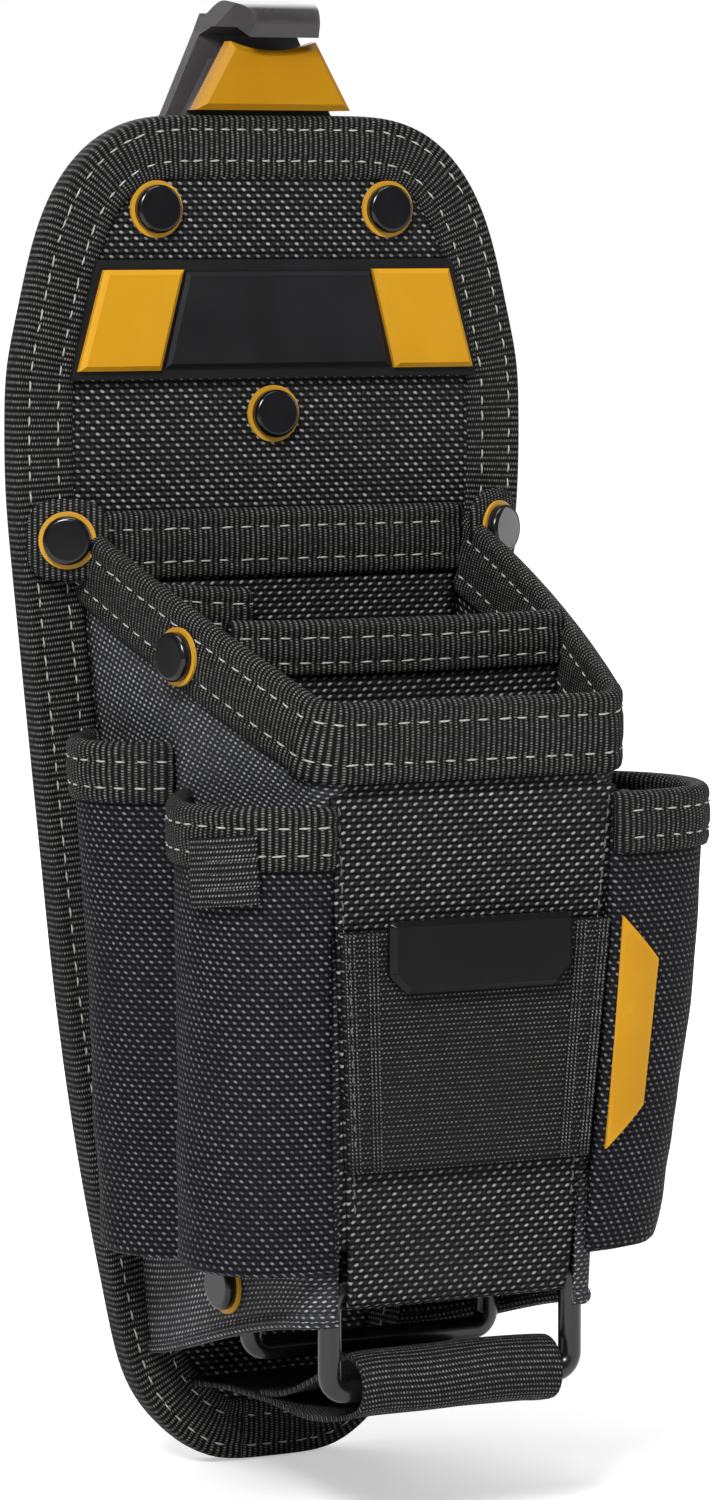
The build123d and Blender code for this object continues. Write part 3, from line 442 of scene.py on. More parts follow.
def folded_tape(name, path, core, thick, height, rows, square=1.0, closed_path=False):
    """Tape folded over an edge, and its stitches' runs on both faces.

    path has the edge point, the outward normal and the direction into the cloth at each step; rows are the
    distances of the stitch rows from the edge; square above 1 makes the fold boxier."""
    count = 16
    section = []
    side = [(tape_offset(d, core, thick, height, rows), d) for d in np.linspace(height, 1.0, count)]
    section.extend(side)
    top = side[-1][0]
    for step in range(1, 10):
        turn = pi * step / 10
        bend = abs(cos(turn)) ** (1 / square) * (1 if cos(turn) >= 0 else -1)
        section.append((top * bend, 1.0 - (1.0 + thick) * sin(turn) ** (1 / square)))
    section.extend([(-o, d) for o, d in reversed(side)])
    inner = core / 2 + 0.12
    section.extend([(-inner, height), (-inner, 0.4), (inner, 0.4), (inner, height)])
    sections = [[p + n * o * MM + d * s * MM for o, s in section] for p, n, d in path]
    if closed_path:
        sections.append(sections[0])
    made = grid_object(name, sections, RIBBED_TAPE, closed=True, caps=not closed_path, turned=True)
    if closed_path:
        edit = bmesh.new()
        edit.from_mesh(made.data)
        bmesh.ops.remove_doubles(edit, verts=edit.verts, dist=1e-7)
        edit.to_mesh(made.data)
        edit.free()
    runs = []
    for sign in (1, -1):
        for row in rows:
            lift = sign * (tape_offset(row, core, thick, height, rows) + 0.05)
            line = [p + n * lift * MM + d * row * MM for p, n, d in path]
            runs.append((line, [n * sign for _, n, _ in path]))
    return made, runs


def edge_path(edge, below):
    """Path for a tape from an edge's points and the points just below them on the same cloth."""
    path = []
    for i, (point, under) in enumerate(zip(edge, below)):
        before, after = edge[max(i - 1, 0)], edge[min(i + 1, len(edge) - 1)]
        tangent = (after - before).normalized()
        down = under - point
        down = (down - tangent * down.dot(tangent)).normalized()
        path.append((point, down.cross(tangent).normalized(), down))
    return path


def sewn_tape(name, node, edge, below, core, thick, height, rows, pitch=5.0, length=3.2):
    """Tape folded over an edge and its stitches; below are the points just under the edge."""
    tape, runs = folded_tape(name, edge_path(edge, below), core, thick, height, rows)
    finish_piece(tape, node)
    return tape, stitch_object(name.replace("_tape", "_stitches"), runs, pitch, length, 0.23)


SWELL_FRAMES = 20


def swell(piece, pinned, pressure, cap):
    """Cloth simulation: the cloth puffs out between its sewn edges, and no point moves more than cap mm."""
    rest = np.array([v.co for v in piece.data.vertices])
    group = piece.vertex_groups.new(name="sewn")
    group.add([int(i) for i in pinned], 1.0, "REPLACE")
    cloth = piece.modifiers.new("cloth", "CLOTH")
    settings = cloth.settings
    settings.quality = 6
    settings.mass = 0.25
    settings.tension_stiffness = settings.compression_stiffness = 12.0
    settings.bending_stiffness = 1.5
    settings.use_pressure = True
    settings.uniform_pressure_force = pressure
    settings.vertex_group_mass = "sewn"
    settings.effector_weights.gravity = 0.0
    cloth.collision_settings.use_collision = False
    cloth.point_cache.frame_start = 1
    cloth.point_cache.frame_end = SWELL_FRAMES
    for number in range(1, SWELL_FRAMES + 1):
        scene.frame_set(number)
    evaluated = piece.evaluated_get(bpy.context.evaluated_depsgraph_get())
    moved = np.array([v.co for v in evaluated.data.vertices])
    piece.modifiers.remove(cloth)
    piece.vertex_groups.remove(group)
    shift = moved - rest
    size = np.linalg.norm(shift, axis=1, keepdims=True)
    limit = np.asarray(cap, float).reshape(-1, 1) * MM
    shift *= np.minimum(1.0, limit / np.maximum(size, 1e-9))
    piece.data.vertices.foreach_set("co", (rest + shift).astype(np.float32).ravel())
    piece.data.update()
    scene.frame_set(1)


# -------- padded back panel

flat_outline = [(v.co.x, v.co.z) for v in nodes["panel_binding"].data.vertices]
hull = [Vector((flat_outline[i][0], 0.0, flat_outline[i][1])) for i in convex_hull_2d(flat_outline)]
OUTLINE_STEPS = 300


def panel_loop(inset):
    """Evenly spaced points round the panel's edge, moved inwards by inset, with the direction inwards."""
    ring = np.array([tuple(p) for p in hull + hull[:1]])
    walk = walked(ring)
    where = np.linspace(0, walk[-1], OUTLINE_STEPS, endpoint=False)
    line = np.stack([np.interp(where, walk, ring[:, a]) for a in range(3)], axis=1)
    for _ in range(6):
        line = (np.roll(line, 1, axis=0) + 2 * line + np.roll(line, -1, axis=0)) / 4
    tangent = np.roll(line, -1, axis=0) - np.roll(line, 1, axis=0)
    tangent /= np.linalg.norm(tangent, axis=1, keepdims=True)
    inward = np.stack([-tangent[:, 2], 0 * tangent[:, 1], tangent[:, 0]], axis=1)
    middle = line.mean(axis=0)
    inward *= np.sign(((middle - line) * inward).sum(axis=1, keepdims=True))
    return [(Vector(p) + Vector(i) * inset * MM, Vector(i)) for p, i in zip(line, inward)]


FORWARD = Vector((0, -1, 0))
panel_middle = PANEL_Y + PANEL_THICKNESS / 2 * MM
panel_path = [(Vector((p.x, panel_middle, p.z)), FORWARD, i) for p, i in panel_loop(0.9)]
binding, binding_runs = folded_tape(
    "panel_binding_tape", panel_path, PANEL_THICKNESS - 1.9, 0.8, 13.6, (2.6, 9.8), 1.7, closed_path=True
)
finish_piece(binding, "panel_binding")
stitch_object("panel_binding_stitches", binding_runs, 4.2, 2.6, 0.22)


def panel_pad():
    """Foam-filled middle of the panel: remeshed from the CAD layers, then blown up a little as cloth."""
    loop = [p for p, _ in panel_loop(3.2)]
    front, rear = PANEL_Y + 1.25 * MM, PANEL_Y + (PANEL_THICKNESS - 1.3) * MM
    vertices = [(p.x, y, p.z) for y in (front, rear) for p in loop]
    size = len(loop)
    faces = [list(range(size)), list(range(2 * size - 1, size - 1, -1))]
    faces += [(i, i + size, (i + 1) % size + size, (i + 1) % size) for i in range(size)]
    pad = plain_object("panel_pad", vertices, faces, PAD_NYLON)
    remesh = pad.modifiers.new("remesh", "REMESH")
    remesh.mode = "VOXEL"
    remesh.voxel_size = 3.5 * MM
    depsgraph = bpy.context.evaluated_depsgraph_get()
    pad.data = bpy.data.meshes.new_from_object(pad.evaluated_get(depsgraph))
    pad.modifiers.clear()
    return pad


RIVETS = [(-30.0, 21.8), (30.0, 21.8), (0.0, 69.2)]


def pad_cap(point):
    """How far the padded panel may swell at a point, in mm: none under what is fixed on it."""
    x, depth = point.x / MM, (PANEL_TOP - point.z) / MM
    if point.y > panel_middle:
        return 0.4 if depth < 88 else 2.2
    near = min(sqrt((x - rx) ** 2 + (depth - rd) ** 2) for rx, rd in RIVETS)
    badge = max(abs(depth - 47.0) - 14.5, 0.0)
    return min(0.35 + 0.14 * max(near - 7.0, 0.0), 0.35 + 0.12 * badge, 1.7)


pad = panel_pad()
pad_caps = [pad_cap(v.co) for v in pad.data.vertices]
edge_loop = np.array([(p.x, p.z) for p, _ in panel_loop(9.0)])
pad_points = np.array([(v.co.x, v.co.z) for v in pad.data.vertices])
inside_x = np.interp(pad_points[:, 1], *zip(*sorted((z, abs(x)) for x, z in edge_loop)))
pad_pinned = np.nonzero(np.abs(pad_points[:, 0]) > inside_x - 1.0 * MM)[0]
swell(pad, pad_pinned, 4.0, pad_caps)
subdivide = pad.modifiers.new("smooth", "SUBSURF")
subdivide.levels = subdivide.render_levels = 1
pad.data.materials.clear()
pad.data.materials.append(PAD_NYLON)
pad.data.materials.append(MESH_FABRIC)
for face in pad.data.polygons:
    face.use_smooth = True
    face.material_index = 1 if face.normal.y > 0.3 else 0
finish_piece(
    pad,
    ["panel_front_fabric", "panel_foam_pad", "panel_stiffener_board", "panel_rear_fabric"],
)

# -------- box of the pouch

BOX_TOP, BOX_HEM = 86.0, 290.0
REAR_HALF, MIDDLE_HALF, FRONT_HALF = (51.5, 33.0), (48.4, 37.2), (39.6, 36.2)
FRONT_REACH = (100.0, 88.4)
REAR_REACH, MIDDLE_REACH, CORNER = 1.7, 48.0, 7.0
FLOOR_DEPTH = 248.4
MOUTH = np.polyfit([0.0, 40.0, 72.0, 100.0], [94.0, 108.0, 120.0, 131.0], 3)
HEM = np.polyfit([0.0, 21.0, 50.0, 75.0, 88.0], [287.0, 282.5, 274.5, 268.5, 266.5], 3)
SIDE_STEPS, CORNER_STEPS, FRONT_STEPS = 34, 7, 22


def sized(pair, depth):
    """A size of the box at a depth, from its values at the top and the hem."""
    return pair[0] + (pair[1] - pair[0]) * (depth - BOX_TOP) / (BOX_HEM - BOX_TOP)


def wall_half(reach, depth):
    """Half width of the box at a reach and a depth."""
    bend = sized(FRONT_REACH, depth) - CORNER
    halves = [sized(REAR_HALF, depth), sized(MIDDLE_HALF, depth), sized(FRONT_HALF, depth)]
    return float(np.polyval(np.polyfit([0.3, MIDDLE_REACH, bend], halves, 2), reach))


def box_plan(depth, grow):
    """Plan points of the box from its left rear corner round the front to its right rear corner."""
    bend, front = sized(FRONT_REACH, depth) - CORNER, sized(FRONT_HALF, depth)
    left = [(-wall_half(r, depth) - grow, r) for r in np.linspace(REAR_REACH, bend, SIDE_STEPS)]
    radius = CORNER + grow
    for step in range(1, CORNER_STEPS + 1):
        turn = pi / 2 * step / CORNER_STEPS
        left.append((-front + CORNER - radius * cos(turn), bend + radius * sin(turn)))
    line = [(x, bend + radius) for x in np.linspace(-front + CORNER, 0, FRONT_STEPS // 2 + 1)[1:]]
    half = left + line
    return half + [(-x, r) for x, r in reversed(half[:-1])]


class Box:
    """The box's wall moved out by grow: places on it by column and depth."""

    def __init__(self, grow):
        self.top = np.array(box_plan(BOX_TOP, grow))
        self.hem = np.array(box_plan(BOX_HEM, grow))
        self.count = len(self.top)

    def plan(self, column, depth):
        share = (depth - BOX_TOP) / (BOX_HEM - BOX_TOP)
        return self.top[column] + (self.hem[column] - self.top[column]) * share

    def point(self, column, depth):
        x, reach = self.plan(column, depth)
        return at(x, reach, depth)

    def edge_depth(self, column, curve):
        depth = 150.0
        for _ in range(8):
            depth = float(np.polyval(curve, self.plan(column, depth)[1]))
        return depth

    def sheet(self, columns, top, bottom, rows, puff=0.0, seed=0.0):
        """Rows of points between two edges, each given as a function of the column, with faint ripples."""
        grid = []
        for share in np.linspace(0, 1, rows):
            line = []
            for column in columns:
                depth = top(column) + share * (bottom(column) - top(column))
                point = self.point(column, depth)
                out = Vector((point.x, (point.y - PANEL_Y) * 0.35, 0)).normalized()
                fade = sin(pi * share) ** 0.5
                line.append(point + out * (ripple(point, puff, 45.0, seed) * fade) * MM)
            grid.append(line)
        return grid


wall = Box(-FABRIC / 2)
SPLIT = SIDE_STEPS + CORNER_STEPS
left_columns = range(0, SPLIT)
front_columns = range(SPLIT - 1, wall.count - SPLIT + 1)
right_columns = range(wall.count - SPLIT, wall.count)


def mouth(column):
    return wall.edge_depth(column, MOUTH)


def hem(column):
    return wall.edge_depth(column, HEM)


def cloth_piece(name, grid, material, node, thickness=FABRIC - 0.2, far=None):
    """One cut sheet of the pouch, declared with its flat size; far is the material of its other side."""
    piece = grid_object(name, grid, material)
    thicken(piece, thickness, far=far)
    finish_piece(piece, node)


UP = Vector((0, 0, 1))
FRONT_WALL_FOOT = 250.0
left_grid = wall.sheet(left_columns, mouth, hem, 60, 0.9, 3.0)
right_grid = wall.sheet(right_columns, mouth, hem, 60, 0.9, 5.0)
front_grid = wall.sheet(front_columns, mouth, lambda column: FRONT_WALL_FOOT, 50, 0.3, 7.0)
cloth_piece("left_wall_cloth", left_grid, NYLON, "left_side_wall", far=GREY_NYLON)
cloth_piece("right_wall_cloth", right_grid, NYLON, "right_side_wall", far=GREY_NYLON)
cloth_piece("front_wall_cloth", front_grid, NYLON, "front_wall", far=NYLON)

# The rolled hems along the feet of the side walls.
for name, columns in (("left_hem_roll", left_columns), ("right_hem_roll", right_columns)):
    hem_line = [wall.point(c, hem(c) - 0.9) for c in columns]
    cord(name, hem_line, UP, 10, -1.5, 1.9, GREY_NYLON)

edge = [wall.point(c, mouth(c)) for c in range(wall.count)]
below = [wall.point(c, mouth(c) + 10.0) for c in range(wall.count)]
sewn_tape("mouth_binding_tape", "mouth_binding", edge, below, FABRIC, TAPE, 16.6, (3.4, 12.2))

# The two ends of the mouth's tape, turned out flat under the flange rivets.
FLANGE_TURN = 27.5
FLANGE_HALF = 9.4
FLANGE_SEAT = (56.0, 6.4, 97.0)


def flange_patch(side):
    """Rounded end of the mouth's tape, a soft pad that the flange rivet pulls in at its middle."""
    turn = radians(side * FLANGE_TURN)
    out = Vector((sin(turn), -cos(turn), 0))
    right = Vector((cos(turn), sin(turn), 0))
    seat_x, seat_reach, seat_depth = FLANGE_SEAT
    centre = at(side * seat_x, seat_reach, seat_depth) - out * TAPE * MM
    rings, spokes = 9, 40
    rows = []
    for ring in range(rings + 1):
        share = max(ring / rings, 0.02)
        line = []
        for spoke in range(spokes):
            angle = 2 * pi * spoke / spokes
            reach = FLANGE_HALF / (abs(cos(angle)) ** 3.2 + abs(sin(angle)) ** 3.2) ** (1 / 3.2)
            height = TAPE * (1.0 - 0.75 * share**8) - 0.15
            spoke_way = right * cos(angle) + UP * sin(angle)
            line.append(centre + spoke_way * reach * share * MM + out * height * MM)
        rows.append(line)
    patch = grid_object(f"flange_pad_{'left' if side < 0 else 'right'}", rows, RIBBED_TAPE, closed=True)
    layer = patch.data.uv_layers["UVMap"].data
    for loop in patch.data.loops:
        spot = patch.data.vertices[loop.vertex_index].co - centre
        layer[loop.index].uv = (spot.dot(right), spot.z)
    thicken(patch, 1.0, 1.0)
    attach(patch, BODY)


for side in (-1, 1):
    flange_patch(side)

# -------- lining, divider, inner pocket, floor

INNER_GAP = FABRIC + TAPE + 0.45
SHEET_FOOT = FLOOR_DEPTH - 0.4


def cross_sheet(reach, top, sag, seed):
    """Sheet across the box at one reach; sag pulls its middle down and forwards a little."""
    grid = []
    for share in np.linspace(0, 1, 40):
        depth = top + share * (SHEET_FOOT - top)
        line = []
        for across in np.linspace(-1, 1, 44):
            x = across * (wall_half(reach, depth) - INNER_GAP)
            lift = sag * (1 - share) * (1 - across**2)
            wave = ripple(at(x, reach, depth), 0.5, 40.0, seed) * sin(pi * share)
            line.append(at(x, reach + lift + wave, depth + 0.8 * lift))
        grid.append(line)
    return grid


def flat_tape(name, node, grid, core, height, rows):
    """Tape folded over the top row of a sheet inside the pouch."""
    sewn_tape(name, node, grid[0], grid[2], core, TAPE - 0.1, height, rows)


lining_grid = cross_sheet(2.4, 92.0, 0.0, 2.0)
cloth_piece("rear_lining_cloth", lining_grid, NYLON, "rear_lining", 1.0)
flat_tape("rear_lining_tape", "rear_lining_binding", lining_grid, 1.0, 14.6, (3.2, 10.8))

divider_grid = cross_sheet(61.0, 113.6, 0.7, 4.0)
cloth_piece("divider_cloth", divider_grid, NYLON, "divider", 1.4)
flat_tape("divider_tape", "divider_binding", divider_grid, FABRIC, 11.2, (2.8, 8.4))


def rounded_path(corners, radius, steps=6):
    """Open plan path with its inner corners rounded."""
    path = [Vector(corners[0])]
    for before, corner, after in zip(corners, corners[1:], corners[2:]):
        corner = Vector(corner)
        start = corner + (Vector(before) - corner).normalized() * radius
        end = corner + (Vector(after) - corner).normalized() * radius
        for step in range(steps + 1):
            t = step / steps
            path.append(start * (1 - t) ** 2 + corner * 2 * t * (1 - t) + end * t**2)
    return path + [Vector(corners[-1])]


def resample(path, count):
    """The same path with evenly spaced points."""
    line = np.array([tuple(p) for p in path])
    walk = walked(line)
    where = np.linspace(0, walk[-1], count)
    return np.stack([np.interp(where, walk, line[:, a]) for a in range(line.shape[1])], axis=1)


inner_low, inner_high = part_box("inner_pocket")
inner_left, inner_right = inner_low.x / MM + 0.6, inner_high.x / MM - 0.6
inner_front = (PANEL_Y - inner_low.y) / MM - 0.6
inner_rear = (PANEL_Y - inner_high.y) / MM + 0.6
inner_top, inner_foot = (PANEL_TOP - inner_high.z) / MM, (PANEL_TOP - inner_low.z) / MM
inner_corners = [(inner_left, inner_rear), (inner_left, inner_front)]
inner_corners += [(inner_right, inner_front), (inner_right, inner_rear)]
inner_plan = resample(rounded_path(inner_corners, 2.4), 40)
inner_grid = []
for share in np.linspace(0, 1, 24):
    depth = inner_top + share * (inner_foot - inner_top)
    inner_grid.append([at(x, r, depth + 0.07 * (x - inner_left) * (1 - share)) for x, r in inner_plan])
for inward in (0.3, 0.7, 1.0):
    drawn_in = [(x, inner_rear + (r - inner_rear) * (1 - inward)) for x, r in inner_plan]
    inner_grid.append([at(x, r, inner_foot - 0.3) for x, r in drawn_in])
cloth_piece("inner_pocket_cloth", inner_grid, NYLON, "inner_pocket", 1.0)
flat_tape("inner_pocket_tape", "inner_pocket_binding", inner_grid, 1.2, 9.8, (2.6, 7.4))

floor_grid = []
for reach in np.linspace(1.4, sized(FRONT_REACH, FLOOR_DEPTH) - 2.4, 40):
    half = wall_half(min(reach, sized(FRONT_REACH, FLOOR_DEPTH) - CORNER), FLOOR_DEPTH) - FABRIC - 0.5
    squeeze = max(0.0, reach - (sized(FRONT_REACH, FLOOR_DEPTH) - CORNER)) ** 2 / CORNER * 0.35
    floor_grid.append([at(x * (half - squeeze), reach, FLOOR_DEPTH + 0.8) for x in np.linspace(-1, 1, 30)])
cloth_piece("floor_cloth", floor_grid, GREY_NYLON, "floor_panel", 1.4, far=NYLON)

# -------- side pockets

FRONT_FOOT = [(40.5, 47.5), (52.0, 57.0), (58.0, 73.0), (51.5, 87.0), (32.0, 93.4)]
FRONT_POCKET = {"foot": FRONT_FOOT, "heart": (46.0, 76.0), "rim_depth": 152.0, "foot_depth": 254.5}
REAR_POCKET = {"heart": (50.0, 22.0), "rim_depth": 142.0, "foot_depth": 258.5}
POCKETS = {
    "left_front": dict(
        FRONT_POCKET,
        side=-1,
        puff=-0.3,
        rim=[(46.5, 46.5), (53.0, 56.0), (60.0, 74.0), (54.0, 92.0), (37.6, 98.6)],
    ),
    "right_front": dict(
        FRONT_POCKET,
        side=1,
        puff=2.4,
        rim=[(49.0, 46.5), (62.0, 56.0), (68.5, 74.0), (60.5, 92.0), (37.6, 98.6)],
    ),
    "left_rear": dict(
        REAR_POCKET,
        side=-1,
        puff=-0.3,
        rim=[(49.5, 2.0), (55.0, 9.0), (61.5, 24.0), (57.0, 36.0), (48.0, 41.5)],
        foot=[(38.5, 2.0), (47.5, 8.0), (54.0, 24.0), (48.0, 36.0), (41.0, 41.5)],
    ),
    "right_rear": dict(
        REAR_POCKET,
        side=1,
        puff=1.0,
        rim=[(52.0, 2.0), (68.0, 9.0), (74.0, 24.0), (65.5, 36.0), (49.0, 41.5)],
        foot=[(38.5, 2.0), (52.0, 8.0), (58.0, 24.0), (50.0, 36.0), (41.0, 41.5)],
    ),
}
POCKET_COLUMNS, POCKET_ROWS = 46, 44


def pocket_line(pocket, depth, grow):
    """Plan points of a pocket's cloth at a depth, ending against the box's wall at both ends."""
    share = (depth - pocket["rim_depth"]) / (pocket["foot_depth"] - pocket["rim_depth"])
    heart_x, heart_reach = pocket["heart"]
    points = []
    for (rim_x, rim_reach), (foot_x, foot_reach) in zip(pocket["rim"], pocket["foot"]):
        x, reach = rim_x + share * (foot_x - rim_x), rim_reach + share * (foot_reach - rim_reach)
        away = Vector((x - heart_x + share * 8.0, reach - heart_reach)).normalized()
        points.append((x + grow * away.x, reach + grow * away.y))
    line = smooth_curve(points, POCKET_COLUMNS - 4)
    first, last = line[0], line[-1]
    bend = sized(FRONT_REACH, depth) - CORNER
    rear_end = (wall_half(first[1], depth) + 0.9, first[1])
    if last[1] > bend:
        front_end = (min(last[0], sized(FRONT_HALF, depth) - 3.5), sized(FRONT_REACH, depth) + 1.0)
    else:
        front_end = (wall_half(last[1], depth) + 0.9, last[1])
    start = [tuple(np.array(rear_end) * (1 - t) + first * t) for t in (0.0, 0.5)]
    end = [tuple(np.array(front_end) * (1 - t) + last * t) for t in (0.5, 0.0)]
    return start + [tuple(p) for p in line] + end


def pocket_grid(pocket, seed):
    """Rows of a pocket: its bulging face, the fold at its foot and the underside back to the wall."""
    side, rim, foot = pocket["side"], pocket["rim_depth"], pocket["foot_depth"]
    grid = []
    for share in np.linspace(0, 1, POCKET_ROWS):
        depth = rim + share * (foot - 1.6 - rim)
        grow = -FABRIC / 2 + pocket["puff"] * sin(pi * share) ** 0.8
        line = []
        for i, (x, reach) in enumerate(pocket_line(pocket, depth, grow)):
            point = at(side * x, reach, depth)
            fade = sin(pi * i / (POCKET_COLUMNS - 1))
            crease = ripple(point, 0.8, 60.0, seed) + ripple(point, 0.35, 140.0, seed)
            line.append(at(side * (x + crease * fade * (0.35 + 0.65 * share)), reach, depth))
        grid.append(line)
    last = pocket_line(pocket, foot - 1.6, -FABRIC / 2)
    for inward, drop in ((0.015, 0.7), (0.06, 1.15), (0.3, 1.2), (0.65, 1.2), (1.0, 1.2)):
        line = []
        for x, reach in last:
            wall_x = wall_half(min(reach, sized(FRONT_REACH, foot) - CORNER), foot) + 0.9
            line.append(at(side * (x + (min(wall_x, x) - x) * inward), reach, foot - 1.6 + drop))
        grid.append(line)
    return grid


def make_pocket(pocket, name, seed):
    """One side pocket with its rim tape and stitches."""
    grid = pocket_grid(pocket, seed)
    if pocket["side"] < 0:
        grid = [list(reversed(row)) for row in grid]
    cloth = grid_object(f"{name}_pocket_cloth", grid, POCKET_NYLON)
    cloth.data.flip_normals()
    width = len(grid[0])
    sewn_columns = (0, 1, 2, width - 3, width - 2, width - 1)
    pinned = [
        i
        for i in range(len(cloth.data.vertices))
        if i // width < 2 or i // width >= POCKET_ROWS - 1 or i % width in sewn_columns
    ]
    swell(cloth, pinned, 2.2, [1.5] * len(cloth.data.vertices))
    thicken(cloth, FABRIC - 0.2)
    finish_piece(cloth, f"{name}_pocket")
    tape_name, tape_node = f"{name}_pocket_tape", f"{name}_pocket_binding"
    rim, under = grid[0], grid[3]
    tape, stitches = sewn_tape(tape_name, tape_node, rim, under, FABRIC, TAPE, 12.4, (3.0, 9.0), 4.8, 3.1)


for seed, (name, pocket) in enumerate(POCKETS.items()):
    make_pocket(pocket, name, 8.0 + 5.0 * seed)

# -------- front band, webbing panel and trim

BAND_TOP, BAND_HALF_TOP, BAND_HALF_FOOT, BAND_FOOT = 149.0, 35.6, 26.8, 268.0
BAND_STRAIGHT = 246.0
WEB = 1.4
LOOP_BORE = 3.0
ring_low, ring_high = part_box("front_ring")
RING_ROD = ring_high.y - ring_low.y
ring_bar = Vector((0, (ring_low.y + ring_high.y) / 2, ring_high.z - RING_ROD / 2))
ring_reach = (PANEL_Y - ring_bar.y) / MM
ring_depth = (PANEL_TOP - ring_bar.z) / MM


def band_half(depth):
    """Half width of the band at a depth."""
    return BAND_HALF_TOP + (BAND_HALF_FOOT - BAND_HALF_TOP) * (depth - BAND_TOP) / (BAND_FOOT - BAND_TOP)


def band_profile():
    """Side view of the band's middle line: down the front, round the ring's bar and up behind it."""
    bore = LOOP_BORE + WEB / 2
    line = [(sized(FRONT_REACH, d) + 0.3 + WEB / 2, d) for d in np.linspace(BAND_TOP, BAND_STRAIGHT, 44)]
    last_reach, bar_front = line[-1][0], ring_reach + bore
    for t in (0.25, 0.5, 0.75, 1.0):
        depth = BAND_STRAIGHT + t * (ring_depth - BAND_STRAIGHT)
        line.append((bar_front + (last_reach - bar_front) * (1 - t), depth))
    for step in range(1, 13):
        turn = pi * step / 12
        line.append((ring_reach + bore * cos(turn), ring_depth + bore * sin(turn)))
    line += [(ring_reach - bore, d) for d in np.linspace(ring_depth - 2.0, FLOOR_DEPTH + 2.2, 4)]
    return line


band_grid = []
for reach, depth in band_profile():
    line = []
    for across in np.linspace(-1, 1, 40):
        crown = 0.35 * (1 - across * across) * (depth < BAND_STRAIGHT)
        wave = ripple(Vector((across, 0, depth * 0.02)), 0.25, 2.0)
        line.append(at(across * band_half(min(depth, BAND_FOOT)), reach + crown + wave, depth))
    band_grid.append(line)
cloth_piece("front_band_cloth", band_grid, NYLON, "front_band", WEB - 0.1)

WEB_TOP, WEB_FOOT = 178.6, 232.0
WEB_HALF_TOP, WEB_HALF_FOOT = 33.6, 30.0


def web_surface(x, depth, lift=0.0):
    """Point of the webbing panel; its free foot stands a little off the band."""
    share = (depth - WEB_TOP) / (WEB_FOOT - WEB_TOP)
    stand = 0.3 + WEB + 1.4 + WEB / 2 + 0.9 * share * (1 - x * x) + lift
    half = WEB_HALF_TOP + (WEB_HALF_FOOT - WEB_HALF_TOP) * share
    return at(x * half, sized(FRONT_REACH, depth) + stand, depth)


web_grid = [[web_surface(x, d) for x in np.linspace(-1, 1, 40)] for d in np.linspace(WEB_TOP, WEB_FOOT, 30)]
cloth_piece("webbing_panel_cloth", web_grid, WEBBING, "front_webbing_panel", WEB)


def rib(name, line, radius):
    """Low rounded cord of yarn lying on the front of a webbing."""
    cord(name, line, FORWARD, 8, radius, 0.8 * radius, STRAP_WEB)


def forward_run(line):
    """Run of stitches on a cloth that faces forward."""
    return line, [FORWARD] * len(line)


for side in (-1, 1):
    hand = "left" if side < 0 else "right"
    for number, inset in enumerate((0.02, 0.05, 0.08, 0.19, 0.22, 0.25)):
        depths = np.linspace(WEB_TOP + 0.2, WEB_FOOT - 0.2, 30)
        line = [web_surface(side * (1 - inset), d, WEB / 2) for d in depths]
        rib(f"webbing_rib_{hand}_{number}", line, 0.36)
web_runs = []
for side in (-1, 1):
    line = [web_surface(side * 0.955, d, WEB / 2) for d in np.linspace(WEB_TOP + 1.4, WEB_FOOT - 1.0, 30)]
    web_runs.append(forward_run(line))
stitch_object("webbing_panel_stitches", web_runs, 3.6, 2.4, 0.24, DARK_THREAD)
band_runs = []
for side in (-1, 1):
    line = []
    for depth in np.linspace(BAND_TOP + 1.0, BAND_STRAIGHT - 1.0, 50):
        line.append(at(side * (band_half(depth) - 1.6), sized(FRONT_REACH, depth) + 0.3 + WEB + 0.1, depth))
    band_runs.append(forward_run(line))
stitch_object("front_band_stitches", band_runs, 3.4, 2.2, 0.24, DARK_THREAD)

# Webbing tag sewn under the left front pocket's rim, along the pocket's face.
tag_low, tag_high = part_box("pocket_webbing_tag")
tag_grid = []
for depth in np.linspace((PANEL_TOP - tag_high.z) / MM, (PANEL_TOP - tag_low.z) / MM, 16):
    skin = np.array(pocket_line(POCKETS["left_front"], depth, TAPE + 0.5 + WEB / 2)[2:-2])
    walk = walked(skin)
    start = float(np.interp(74.0, skin[:, 1], walk)) + 8.0
    line = []
    for along in np.linspace(0.0, 17.0, 24):
        x, reach = (float(np.interp(start + along, walk, skin[:, a])) for a in range(2))
        line.append(at(-x, reach, depth - 0.1 * along))
    tag_grid.append(line)
cloth_piece("webbing_tag_cloth", tag_grid, STRAP_WEB, "pocket_webbing_tag", WEB - 0.1)
for row in (2, 5, 8, 11, 14):
    line = [p + Vector((-0.4, -0.9, 0)) * WEB / 2 * MM for p in tag_grid[row]]
    rib(f"webbing_tag_rib_{row}", line, 0.42)

# -------- rear ring's loop and bottom strap

rear_low, rear_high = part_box("rear_ring")
rear_reach = (PANEL_Y - (rear_low.y + rear_high.y) / 2) / MM
rear_depth = (PANEL_TOP - rear_high.z + RING_ROD / 2) / MM
loop_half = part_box("rear_ring_loop")[1].x / MM
loop_bore = LOOP_BORE + WEB / 2
loop_line = [(rear_reach + loop_bore, d) for d in np.linspace(FLOOR_DEPTH + 2.2, rear_depth, 6)]
for step in range(1, 12):
    turn = pi * step / 12
    loop_line.append((rear_reach + loop_bore * cos(turn), rear_depth + loop_bore * sin(turn)))
loop_line += [(rear_reach - loop_bore, d) for d in np.linspace(rear_depth, FLOOR_DEPTH + 2.2, 6)]
loop_grid = [[at(x, r, d) for x in np.linspace(-loop_half, loop_half, 24)] for r, d in loop_line]
cloth_piece("rear_ring_loop_cloth", loop_grid, STRAP_WEB, "rear_ring_loop", WEB - 0.1)
loop_runs = []
